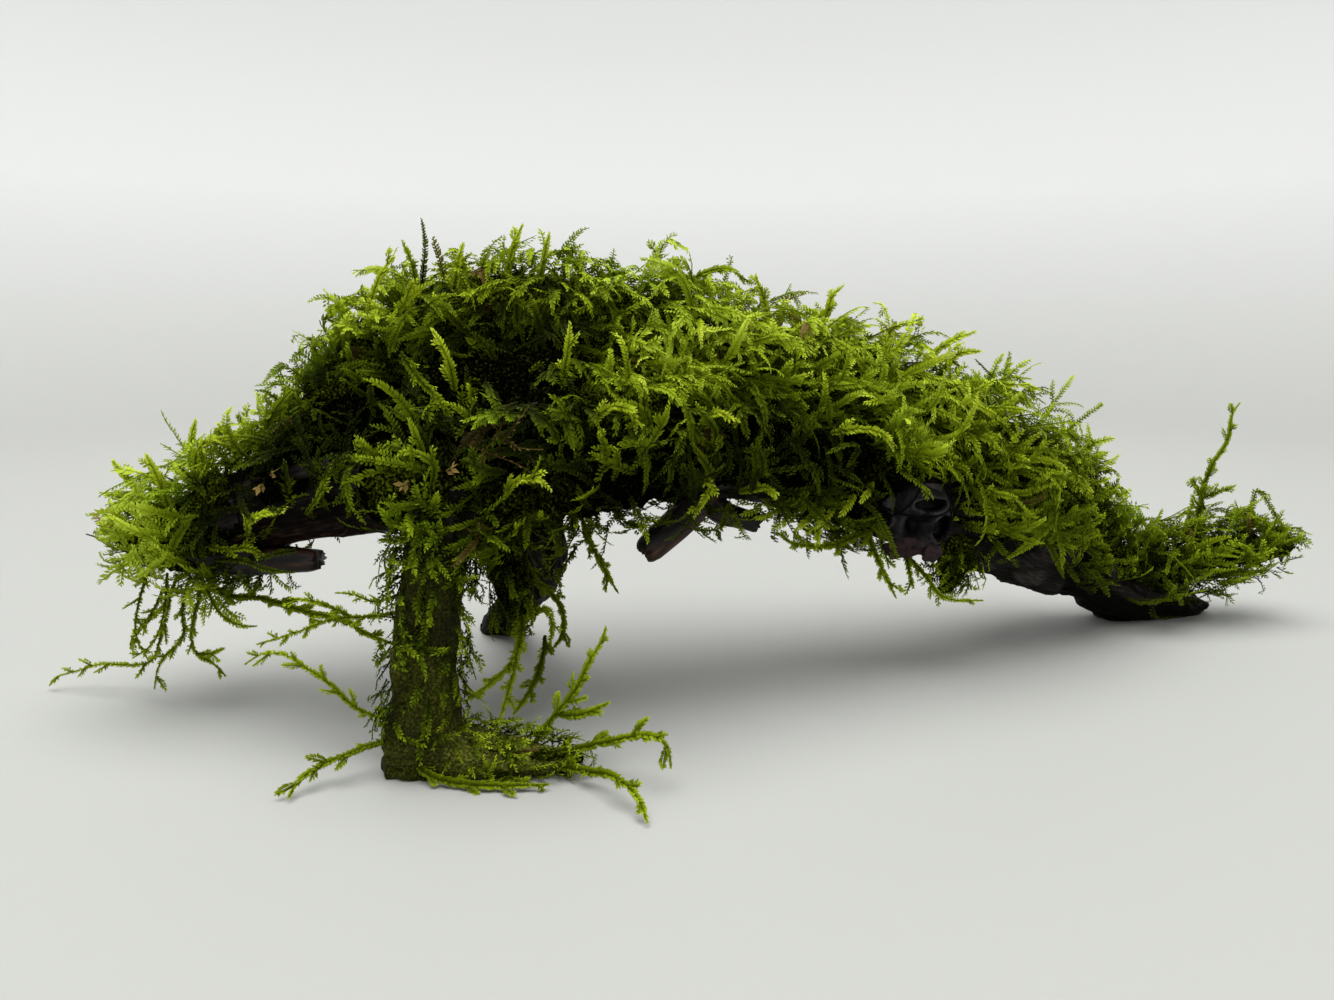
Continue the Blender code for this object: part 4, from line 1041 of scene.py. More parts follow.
def grow(run, roots, headings, faces, lengths, wild, ceiling, droop, hook):
    """Paths of shoots that start together, and the side that each keeps to the light."""
    count = len(roots)
    path = np.empty((count, GROWTH_STEPS + 1, 3))
    light = np.empty_like(path)
    path[:, 0] = roots
    heading = unit(headings)
    face = unit(faces - (faces * heading).sum(axis=1, keepdims=True) * heading)
    light[:, 0] = face
    bend = wild.normal(0, 1, (count, 3))
    for k in range(GROWTH_STEPS):
        place = path[:, k]
        share = (k + 1) / GROWTH_STEPS
        level, outward = run.level(place)
        rising = np.maximum((heading * outward).sum(axis=1), 0)
        over = np.clip((level - ceiling) * 4, 0, 1) * rising
        way = habit_at(place)[0]
        heading = heading - outward * (HELD_IN * over)[:, None] + way * (FOLLOW / GROWTH_STEPS)
        heading = heading + bend * (WANDER / GROWTH_STEPS) - face * (hook * share ** 2.5 / GROWTH_STEPS)
        heading[:, 2] -= droop * share ** 1.5 / GROWTH_STEPS
        for i in range(count):
            normal = wood_tree.find_nearest(Vector(place[i]), WOOD_NEAR)[1]
            if normal is not None:
                heading[i] += np.array(normal) * OFF_WOOD
        heading = unit(heading)
        face = unit(face - (face * heading).sum(axis=1, keepdims=True) * heading)
        path[:, k + 1] = place + heading * (lengths / GROWTH_STEPS)[:, None]
        light[:, k + 1] = face
    return np.clip(path, PATH_LOW, PATH_HIGH), light


def alike(count, **values):
    """Each value given to every point of a stem."""
    return {name: np.full(count, value) for name, value in values.items()}


def as_stems(run, path, light, tone, size, girth, cover, plump):
    """Stems for dress from grown paths: leaves swell and taper, and are darker deep down, where they are
    older and where shade is painted, and lighter out at the outline, with painted light.
    """
    share = np.linspace(0, 1, path.shape[1])
    shape = np.interp(share, (0, 0.2, 0.7, 1), (0.6, 0.95, 1, 0.55))
    stems = []
    for i in range(len(path)):
        youth_and_light = habit_at(path[i])[3]
        if youth_and_light.min() < BARE:
            continue
        level, _ = run.level(path[i])
        # Painted light and shade: leaves near the cushion's outline are coloured lighter, as if lit, and
        # those deep inside darker, as if shaded, on top of how old they are.
        lit_near_outline = np.clip((level - 0.66 + YOUNG_LIFT * np.maximum(youth_and_light - 1, 0)) / 0.45, 0, 1)
        age = (0.05 + 0.42 * lit_near_outline + (0.14 + 0.42 * lit_near_outline) * share ** 2) * (0.22 + 0.82 * youth_and_light)
        stems.append({
            "place": path[i], "face": light[i], "age": np.clip(age, 0, 1), "size": shape * size[i],
            "girth": girth * (1.15 - 0.5 * share),
            **alike(len(share), tone=tone[i], cover=cover, plump=plump)})
    return stems


# Few shoots root where the moss is held old and in painted shade, so the dark mat shows there as shade.
THINNEST = 0.15        # share of the roots that live where the moss is oldest
ROOTS_PER_MM2 = 0.205
# Sorts of shoots, from the deepest to those that stand out: their share of the roots, how far out they
# root, how far they stand and how far out they may grow, their length, droop, tone and branching, and how
# full of leaves they are.
SORTS = [
    (0.36, (0.05, 0.50), 0.15, 0.90, 0.90, 0.10, -0.12, 0.5, 0.85),
    (0.48, (0.35, 0.80), 0.60, 1.04, 1.00, 0.35, 0.02, 1.2, 1.00),
    (0.16, (0.60, 0.92), 1.35, 1.50, 1.00, 0.25, 0.16, 0.5, 1.00),
]
DEAD_SHARE = 0.015     # of all shoots
DEAD_TONE = 0.05
FIRST_BRANCH = 3       # growth steps from the root
BRANCHED_FROM = 6.5    # mm, the shortest stem with side shoots
BRANCH_ANGLE = math.radians(48)
BRANCH_SHARE = 0.45    # of the stem's length
BRANCH_CURL = 0.8


def rooted(outline, out, depth):
    """Starting points between the wood, where there is some, and the outline."""
    roots = np.empty_like(outline)
    for i in range(len(outline)):
        reach = np.linalg.norm(out[i])
        hit = wood_tree.ray_cast(Vector(outline[i]), Vector(-out[i] / reach), reach)[0]
        base = np.array(hit) if hit is not None else outline[i] - 0.75 * out[i]
        roots[i] = base + (outline[i] - base) * depth[i]
    return roots


def patch_tone(points):
    """Brighter and duller patches a couple of centimetres across."""
    return 0.5 + 0.40 * noise_at(points, (0.07, 0.07, 0.07)) + 0.2 * noise_at(points + 50, (0.2, 0.2, 0.2))


def cushion_stems(run, low, high, traits, seed):
    """The stems of one cushion: shoots of each sort rooted at random, and their side shoots."""
    _, density, leafage, forking, curl, plump = traits
    wild = np.random.default_rng(seed)
    inside = np.flatnonzero((run.middle[:, 0] > low) & (run.middle[:, 0] < high))
    girths = run.half[inside].sum(axis=1)
    area = math.pi * girths.sum()
    stems = []
    for share, depths, stand, ceiling, length, droop, tone_step, branching, cover in SORTS:
        count = max(3, round(area * ROOTS_PER_MM2 * density * share))
        chosen = wild.choice(inside, count, p=girths / girths.sum())
        outline, out = run.outline(chosen, wild.uniform(0, math.tau, count))
        thriving = wild.random(count) < THINNEST + (1 - THINNEST) * habit_at(outline)[3]
        outline, out, count = outline[thriving], out[thriving], thriving.sum()
        _, outward = run.level(outline)
        roots = rooted(outline, out, wild.uniform(*depths, count))
        way, habit, reach, _ = habit_at(outline)
        lying = unit(way - outward * (way * outward).sum(axis=1, keepdims=True))
        rise = np.clip(habit * stand * wild.uniform(0.6, 1.4, count), 0, 1)[:, None]
        headings = outward * rise + lying * (1 - rise) + wild.normal(0, SCATTER, (count, 3))
        lengths = reach * length * wild.uniform(0.65, 1.3, count)
        tone = np.clip(patch_tone(roots) + tone_step + wild.normal(0, 0.10, count), 0.13, 1)
        tone[wild.random(count) < DEAD_SHARE] = DEAD_TONE
        size = leafage * wild.uniform(0.75, 1.15, count)
        path, light = grow(run, roots, headings, outward, lengths, wild, ceiling, droop, curl)
        stems += as_stems(run, path, light, tone, size, 1.0, cover, plump)
        side = wild.choice((-1, 1), count)
        for k in range(FIRST_BRANCH, GROWTH_STEPS - 1):
            side = -side
            forked = (wild.random(count) < branching * forking) & (lengths > BRANCHED_FROM)
            some = np.flatnonzero(forked)
            if not len(some):
                continue
            along = unit(path[some, k + 1] - path[some, k])
            across = np.cross(light[some, k], along) * side[some, None]
            turn = along * math.cos(BRANCH_ANGLE) + across * math.sin(BRANCH_ANGLE)
            short = lengths[some] * BRANCH_SHARE * (1 - 0.6 * k / GROWTH_STEPS)
            short = short * wild.uniform(0.7, 1.2, len(some))
            start, lit = path[some, k], light[some, k]
            twig, twig_light = grow(run, start, turn, lit, short, wild, ceiling, droop, BRANCH_CURL)
            stems += as_stems(run, twig, twig_light, tone[some], size[some] * 0.88, 0.8, cover, plump)
    return stems


TO_LIGHT = unit(np.array([-0.1, -0.75, 0.66]))
# Kinds of single shoots: leaf size, girth, how full of leaves, plumpness, mm between leaves, tone, and how
# young it is at the root and at the tip, which also paints shade darker at the root and light at the tip.
KINDS = {
    "feather": (0.90, 1.2, 1.0, 0.35, 0.20, 0.85, 0.50, 1.00),
    "green": (0.82, 1.3, 1.0, 0.40, 0.20, 0.50, 0.38, 0.88),
    "dark": (0.72, 1.3, 0.9, 0.45, 0.22, 0.35, 0.22, 0.55),
    "trailing": (0.62, 1.8, 1.0, 0.75, 0.15, 0.80, 0.48, 0.84),
    "water": (0.80, 1.9, 1.0, 0.75, 0.15, 0.66, 0.46, 0.82),
    "pale": (0.90, 1.9, 1.0, 0.75, 0.15, 0.85, 0.70, 1.00),
    "olive": (0.78, 1.9, 1.0, 0.75, 0.15, 0.90, 0.41, 0.67),
    "twig": (0.50, 1.9, 0.06, 0.40, 0.60, 0.04, 0.45, 0.62),
    "tangle": (0.60, 1.0, 0.35, 0.90, 0.40, 0.03, 0.45, 0.80),
    "tan leaf": (1.6, 1.0, 1.0, 0.60, 0.30, 0.02, 0.90, 1.00),
}
BARE_KINDS = ("twig", "tangle", "tan leaf")
LAID_STEP = 0.7            # mm
ROWS_APART = 0.45          # radians that the second two rows of leaves are turned from the first two
FIRST_SIDE = 1.5           # mm from the root to the first side shoot
SIDE_APART = (1.4, 4.2)    # mm between one short side shoot and the next
SIDE_LENGTH = (0.7, 2.5)
TWIG_APART = 1.7           # mm between the side shoots of a frond
TWIG_LENGTH = 4.2


def laid_stem(kind, route, turn=0.0):
    """A stem along a route, its leaves' faces turned to the light, largest past the root."""
    size, girth, cover, plump, _, tone, old, young = KINDS[kind]
    place = smooth_route(route, LAID_STEP)
    along = unit(np.gradient(place, axis=0))
    share = np.linspace(0, 1, len(place))
    face = unit(TO_LIGHT - (along @ TO_LIGHT)[:, None] * along)
    face = face * math.cos(turn) + np.cross(along, face) * math.sin(turn)
    return {
        "place": place, "along": along, "face": face, "age": old + (young - old) * share ** 1.3,
        "girth": girth * (1.2 - 0.6 * share),
        "size": size * np.interp(share, (0, 0.12, 0.75, 1), (0.7, 1, 0.95, 0.5)),
        **alike(len(place), tone=tone, cover=cover, plump=plump)}


def side_shoot(kind, stem, k, way, length, bend, turn=0.0):
    """A short shoot that leaves a stem at its point k and bends a little towards the stem's tip."""
    root = stem["place"][k]
    ends = [root, root + way * length * 0.6, root + (way + stem["along"][k] * bend) * length]
    return laid_stem(kind, ends, turn)


def plume(kind, route):
    """A full shoot: four rows of leaves along one route, or two where it is a frond's or a bare twig's."""
    if kind == "frond":
        return frond(route)
    stem = laid_stem(kind, route, -ROWS_APART / 2)
    if kind in BARE_KINDS:
        return [stem]
    wild = np.random.default_rng(round(abs(route[0][0]) * 1000))
    stems = [stem, laid_stem(kind, route, ROWS_APART)]
    for row in stems:
        row["size"] = row["size"] * (1 + 0.25 * noise_at(row["place"], (0.6, 0.6, 0.6)))
    last_side = LAID_STEP * (len(stem["place"]) - 1) - 1.2
    at, side = FIRST_SIDE, 1
    while kind != "dark" and at < last_side:
        k = round(at / LAID_STEP)
        face, along = stem["face"][k], stem["along"][k]
        across = np.cross(face, along) * side + face * wild.uniform(-0.3, 0.5)
        way = along * 0.8 + across * wild.uniform(0.5, 0.9)
        length = wild.uniform(*SIDE_LENGTH)
        stems.append(side_shoot(kind, stem, k, way, length, 0.25, wild.uniform(-0.5, 0.5)))
        at += wild.uniform(*SIDE_APART)
        side = -side
    return stems


def frond(route):
    """A long shoot with short side shoots in two rows."""
    stem = laid_stem("green", route)
    stems = [stem]
    far = LAID_STEP * (len(stem["place"]) - 1)
    for number, at in enumerate(np.arange(FIRST_SIDE, far - 1.0, TWIG_APART)):
        k = round(at / LAID_STEP)
        across = np.cross(stem["face"][k], stem["along"][k]) * (-1) ** number
        way = stem["along"][k] * 0.72 + across * 0.7
        length = TWIG_LENGTH * math.sin(math.pi * (0.2 + 0.7 * at / far)) + 0.8
        stems.append(side_shoot("feather", stem, k, way, length, 0.3))
    return stems


STANDING = {           # shoots that stand out of a cushion: kind, and x, y, z along the stem
    "moss_left_tip": [
        ("trailing", [(-97.3, -6, 16.3), (-100.8, -5, 13.1), (-102.8, -5, 11.4), (-103.7, -5, 9.4)]),
        ("twig", [(-99.6, -7, 21.4), (-98.3, -7, 23.1), (-96.7, -7, 25.3)]),
        ("trailing", [(-96.6, -10, 24), (-98.4, -11, 18), (-99.2, -11, 13), (-97.6, -11, 9)]),
        ("trailing", [(-92.6, -12, 24), (-93.4, -13, 17), (-95.6, -13, 12.4), (-99, -13, 10)]),
        ("trailing", [(-87, -12, 23), (-84.6, -13, 18), (-81.6, -13, 15.6), (-78.6, -13, 15.4)]),
        ("feather", [(-90.6, -12, 32.6), (-91.4, -13, 37), (-92.4, -13, 40.6), (-93.5, -13, 43.1)]),
        ("feather", [(-95.5, -11, 30), (-98, -12, 31.8), (-100.4, -12, 31.4)]),
        ("feather", [(-86.6, -12, 40), (-85.6, -13, 43.6), (-83.2, -13, 45.8), (-80.6, -13, 45)]),
        ("feather", [(-81.1, -8, 42.5), (-82.3, -9, 45.8), (-83.7, -9, 47.6)]),
        ("feather", [(-93.1, -9, 36.9), (-93.9, -10, 40), (-95.1, -10, 42.6)]),
        ("feather", [(-97.1, -7, 34.9), (-99.7, -7, 37.7), (-102.1, -7, 41.3)]),
        ("feather", [(-97.5, -6, 33), (-101.9, -6, 35), (-105.4, -6, 36)])],
    "moss_left_limb": [
        ("tan leaf", [(-72, -19, 41), (-71.6, -19.6, 41.6)]),
        ("olive", [(-86, -13, 29), (-82, -14.4, 28.4), (-78.4, -14.8, 28.8), (-75.4, -14.8, 27.4)]),
        ("dark", [(-84, -13.6, 26.6), (-79, -15, 26.8), (-75, -15.4, 25.4), (-71, -15.4, 25)]),
        ("dark", [(-70, -15.6, 28.6), (-73.6, -15.4, 28), (-77, -14.4, 26.8)]),
        ("green", [(-68, -17, 34.6), (-65.4, -19, 37.4), (-63.6, -19.4, 40.4), (-63, -19, 42.4)]),
        ("feather", [(-77.6, -16, 30.6), (-76.4, -18, 33.4), (-74, -18.4, 35), (-71, -18, 35.2)]),
        ("tan leaf", [(-73.4, -18.6, 39.6), (-74, -19, 39.2)]),
        ("dark", [(-71.2, -8, 46.2), (-72.9, -9, 50.3), (-75.4, -9, 52.6), (-77.3, -9, 52.9)])],
    "moss_leg": [
        ("trailing", [(-51.6, -26, 24.6), (-55.6, -25, 23.1), (-59.3, -23, 23.7), (-62.4, -22, 23.6)])],
    "moss_crown_left": [
        ("green", [(-64.5, -4, 59), (-64.8, -5, 61.1), (-65.6, -5, 63)]),
        ("green", [(-66.8, -5, 55.5), (-67.9, -6, 58), (-69.5, -6, 60)])],
    "moss_crown_top": [
        ("green", [(-52.2, -4, 66.4), (-52.7, -5, 72.3), (-54, -5, 75.8)]),
        ("feather", [(-33.7, 1, 68.9), (-32.3, 0, 74.5), (-31.6, 0, 77.4)]),
        ("feather", [(-47.4, -1, 67.3), (-46.3, -1, 72.9), (-45.4, -1, 75.7)])],
    "moss_crown_right": [
        ("dark", [(12.6, 8, 57.1), (10.7, 7, 61), (8.3, 6, 64.3), (5.2, 5, 66.9)]),
        ("feather", [(23.6, 11, 56), (26.4, 10, 61.7), (28.8, 9, 63), (31.7, 9, 63.2)]),
        ("feather", [(35.7, 14, 52.3), (39.2, 13, 57.4), (43.1, 12, 58.1)])],
    "moss_slope": [
        ("frond", [(43.9, 18, 47.9), (46.7, 17, 51.7), (50, 16, 53.2), (53.8, 16, 52.9)]),
        ("frond", [(66, 26, 30), (70.7, 27, 34), (69.8, 28, 37.9), (64.2, 27, 42.8)]),
        ("frond", [(52, 14, 36), (58, 15, 37.5), (64, 18, 36), (69, 21, 32)]),
        ("frond", [(44, 11, 38), (50, 11, 40.4), (56.6, 13, 40), (61.6, 16, 36.6)]),
        ("feather", [(69, 28, 37.7), (71.3, 27, 39.8), (74.8, 27, 40.6)]),
        ("feather", [(70.4, 29, 34.4), (72.1, 28, 36.1), (74.3, 28, 37.7)]),
        ("feather", [(71.6, 30, 28.7), (75.2, 30, 29.9), (79.9, 30, 28.5)])],
    "moss_right_foot": [
        ("green", [(98.9, 36, 24.5), (97, 35, 28.4), (95.1, 35, 30.9)]),
        ("feather", [(105.6, 38, 23.1), (112.9, 39, 21.7), (119, 39, 15.6), (118.7, 39, 11.7)]),
        ("green", [(104, 37, 22), (109, 37, 24), (110.4, 38, 28.3), (114, 38, 24.4), (118.7, 39, 18.4)])],
    "moss_arch_right": [
        ("frond", [(23.3, -1, 38), (15.1, -2, 33.9), (8.3, -3, 32.6), (4, -3, 33.4), (-0.2, -3, 33.4)]),
        ("pale", [(13.6, -3, 33), (12.9, -3.4, 29.2), (12.7, -3.4, 26)]),
        ("water", [(23.4, 3, 29), (24.8, 3, 26.4), (26.3, 2.4, 21)]),
        ("feather", [
            (-11.5, -11, 38), (-7.5, -14, 39.4), (-5.6, -15, 39), (-6.6, -15, 36.9), (-8.3, -14.6, 33.7)]),
        ("feather", [(-1, -8, 36.4), (3.6, -9, 37.4), (5, -9, 35.6)]),
        ("feather", [(14, -5, 45.6), (18.6, -7, 46.6), (22.6, -7, 45.6), (24, -7, 43.2)]),
        ("feather", [(-4, -11, 46), (-6.6, -14, 48.6), (-4.6, -15, 50), (-1.6, -15, 48.8)])],
    "moss_arch_left": [
        ("tan leaf", [(-47.6, -33, 42.6), (-48.4, -33.4, 42)]),
        ("tan leaf", [(-42.4, -33.4, 44), (-41.6, -33.6, 44.6)]),
        ("tangle", [(-38.6, -28, 51), (-36, -30.6, 49.6), (-33.4, -31, 47), (-30, -29.6, 46.4)]),
        ("tangle", [(-37.6, -29, 45), (-35.2, -31, 47.4), (-33, -30.4, 50.4), (-31.6, -28, 52.4)]),
        ("tangle", [(-40, -29.6, 47), (-36.6, -31.4, 46), (-33, -31.4, 44.6), (-30.6, -30, 42.6)]),
        ("tangle", [(-34.6, -29, 52.6), (-35.4, -31.2, 49), (-37.4, -31.6, 46.4), (-38.4, -31, 43)]),
        ("green", [(-50.6, -23, 59.6), (-48, -24, 56), (-44.6, -25, 52.6), (-43, -25, 49)]),
        ("green", [(-45.6, -29, 41), (-44.6, -31, 44.6), (-47.6, -32, 46.6), (-50, -32, 45.4)]),
        ("feather", [(-36, -27, 39), (-33.6, -30, 42), (-30.6, -31, 42.6), (-28.6, -31, 41)]),
        ("feather", [(-24, -21, 49), (-20.6, -22, 51.6), (-17.6, -22, 51), (-17, -22, 48)]),
        ("feather", [(-43.6, -20, 53.6), (-43.9, -21.5, 57.6), (-44.8, -22, 60.4), (-46, -22, 62.6)]),
        ("feather", [(-28.3, -16, 54.5), (-27.2, -17, 59.8), (-26.8, -17, 63.3)])],
    "moss_behind_leg": [
        ("pale", [(-35, -7, 19), (-36.3, -10, 14.3), (-37.2, -15, 8), (-38.8, -22, 1.6)]),
        ("pale", [(-36.2, -5, 13.5), (-33.4, -5, 16), (-31.9, -5, 13), (-32.7, -6, 8.5)]),
        ("olive", [(-27.7, -3, 26.1), (-30.4, -2, 21.8), (-31.3, -2, 20), (-30.4, -2, 19)])],
    "moss_knot_tuft": [
        ("water", [(29.9, 6, 23.5), (30.7, 5, 19), (31.4, 5, 16.6)])],
}

leaf = leaf_template()
shoot_nodes = leafy_tree()
moss_green = moss_finish()
old_moss = mat_finish()
cushions = {}
for number, (names, pinches, top, traits, knots) in enumerate(MOSS_RUNS):
    run = Run(knots, top)
    edges = [-math.inf, *pinches, math.inf]
    for place_in_run, name in enumerate(names):
        low, high = edges[place_in_run], edges[place_in_run + 1]
        stems, mats = cushions.setdefault(name, ([], []))
        stems += cushion_stems(run, low, high, traits, 100 + 10 * number + place_in_run)
        mats.append(mat_form(run, low, high, traits[0]))
for number, (name, (stems, mats)) in enumerate(cushions.items()):
    for kind, route in STANDING.get(name, []):
        stems += plume(kind, route)
    points, faces, youth_and_light = zip(*mats)
    mat = mesh_object(name + "_mat", mesh_of(name, list(zip(points, faces)), {"youth_and_light": youth_and_light}))
    mat.data.materials.append(old_moss)
    for piece in (mat, dress(name + "_leafy", stems, number)):
        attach(piece, "root")
        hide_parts(name)

# Cotton thread
# The moss was tied on with thin black cotton, a two-ply twist wound round the limbs and knotted tight, so
# it bridges the hollows. The winding beside the knot crosses over its face.
STRAND_RADIUS = 0.12       # mm
PITCH_OF_TWIST = 1.1       # mm for one turn of a strand round the other
TWIST_STEP = 0.25          # mm
THREAD_LIFT = 0.28         # mm from the wood to the middle of the thread
THREAD_POINTS = 90         # in one turn
FROM_OUTSIDE = 11          # mm from the limb's middle line to where its skin is looked for
SKIN_RADIUS = 6            # mm, where no skin is found
BEHIND = 24                # mm to the knot's face, where no skin is found
SLACK = 0.004              # mm that the thread gives between neighbouring points
THREADS = {                # limb, x of the winding, turns, how far they stray along the limb, what it holds
    "thread_left": ("left_limb", -78, 2, 0.7, [wood_tree]),
    "thread_crown_left": ("crown_limb", -56, 2, 0.7, [wood_tree]),
    "thread_crown_right": ("crown_limb", -6, 2, 0.7, [wood_tree]),
    "thread_arch": ("arch", -9, 2, 0.9, [wood_tree]),
    "thread_knot": ("arch", 35.5, 3, 5.0, [wood_tree, knot_tree]),
}
CROSSINGS = {              # x and z of turns that cross the knot's face
    "thread_knot": [
        [(20.5, 33.6), (23.1, 32.6), (27.1, 31.1), (31.2, 30.5), (35.4, 31.6), (38.4, 33.2)],
        [(21.6, 28.2), (23.6, 29.1), (27.1, 31.1), (29.4, 33.7), (31.4, 36.8), (32.6, 39)],
        [(31.6, 38.4), (34.6, 36.6), (36.2, 33.4), (36.4, 29.6), (37.2, 25.4)]],
}


def thread_tree():
    """Geometry nodes that twist two strands along a path."""
    tree = new_tree("twisted thread", {
        "Path": "Geometry", "Strand Radius": "Float", "Pitch": "Float", "Step": "Float",
        "Finish": "Material"}, "Thread")
    nodes = Nodes(tree)
    entry = nodes.add("NodeGroupInput")
    path = nodes.add("GeometryNodeMeshToCurve", sockets={"Mesh": entry.out("Path")})
    path = nodes.add("GeometryNodeResampleCurve", {"mode": "LENGTH"}, {
        "Curve": path, "Length": entry.out("Step")})
    far = nodes.add("GeometryNodeSplineParameter").out("Length")
    path = nodes.add("GeometryNodeSetCurveTilt", sockets={
        "Curve": path, "Tilt": far * math.tau / entry.out("Pitch")})
    strands = []
    for side in (-1.0, 1.0):
        ring = nodes.add("GeometryNodeCurvePrimitiveCircle", sockets={
            "Resolution": 5, "Radius": entry.out("Strand Radius")})
        offset = nodes.add("ShaderNodeCombineXYZ", sockets={"X": side * entry.out("Strand Radius")})
        strands.append(nodes.add("GeometryNodeTransform", sockets={
            "Geometry": ring, "Translation": offset}))
    profile = nodes.add("GeometryNodeJoinGeometry", sockets={"Geometry": strands})
    whole = nodes.add("GeometryNodeCurveToMesh", sockets={"Curve": path, "Profile Curve": profile})
    whole = nodes.add("GeometryNodeSetShadeSmooth", sockets={"Geometry": whole})
    whole = nodes.add("GeometryNodeRealizeInstances", sockets={"Geometry": whole})
    whole = nodes.add("GeometryNodeSetMaterial", sockets={
        "Geometry": whole, "Material": entry.out("Finish")})
    nodes.add("NodeGroupOutput", sockets={"Thread": whole})
    return tree


def thread_finish():
    """Dull black cotton with slightly paler fibres."""
    finish, nodes, shader = finish_of("black cotton")
    fibres = nodes.noise(nodes.add("ShaderNodeTexCoord", output=3), 5200.0, 2.0)
    colour = nodes.colours(fibres, [
        (0.3, (0.0010, 0.0010, 0.0012)), (0.7, (0.0075, 0.0075, 0.0080))])
    nodes.fill(shader, {"Base Color": colour, "Roughness": 0.85, "Specular IOR Level": 0.05})
    return finish


def first_skin(trees, start, way, reach, missed):
    """The mm from a point to the first of the skins on the way, or `missed` where there is none."""
    gaps = [tree.ray_cast(start, way, reach)[3] for tree in trees]
    return min([gap for gap in gaps if gap is not None], default=missed)


def winding(limb, at_x, turns, stray, over):
    """Points of a closed thread wound tight round a limb and what stands on it, in millimetres."""
    line = smooth_route(GRAIN[limb], 0.5)
    along, side, height = ways_of(line, UP)
    middle = np.abs(line[:, 0] - at_x).argmin()
    count = THREAD_POINTS * turns
    angle = math.tau * np.arange(count) / THREAD_POINTS
    shift = stray * np.sin(angle / turns)
    origins = line[middle] + along[middle] * shift[:, None]
    ways = side[middle] * np.cos(angle)[:, None] + height[middle] * np.sin(angle)[:, None]
    reach = np.empty(count)
    for i in range(count):
        start = Vector(origins[i] + ways[i] * FROM_OUTSIDE)
        missed = FROM_OUTSIDE - SKIN_RADIUS
        reach[i] = FROM_OUTSIDE - first_skin(over, start, Vector(-ways[i]), FROM_OUTSIDE, missed)
    for _ in range(80):
        reach = np.maximum(reach, (np.roll(reach, 1) + np.roll(reach, -1)) / 2 - SLACK)
    points = origins + ways * (reach + THREAD_LIFT)[:, None]
    return np.vstack([points, points[:1]])


def crossing(places):
    """Points of a thread drawn tight over the knot's face through these x and z, in millimetres."""
    line = smooth_route([(x, 0, z) for x, z in places], 0.3)
    ahead = Vector((0, 1, 0))
    for place in line:
        start = Vector((place[0], -FROM_OUTSIDE, place[2]))
        place[1] = first_skin((wood_tree, knot_tree), start, ahead, 40, BEHIND) - FROM_OUTSIDE
    for _ in range(60):
        line[1:-1, 1] = np.minimum(line[1:-1, 1], (line[:-2, 1] + line[2:, 1]) / 2 + SLACK)
    line[:, 1] -= THREAD_LIFT
    return line


thread_nodes = thread_tree()
cotton = thread_finish()
for name, shape in THREADS.items():
    lines = [winding(*shape)] + [crossing(places) for places in CROSSINGS.get(name, [])]
    twisted = grown(mesh_object(name + "_path", bare_lines(name, lines)), thread_nodes, {
        "Strand Radius": STRAND_RADIUS * MM, "Pitch": PITCH_OF_TWIST * MM, "Step": TWIST_STEP * MM,
        "Finish": cotton})
    thread = mesh_object(name + "_twist", twisted)
    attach(thread, "root")
    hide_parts(name)

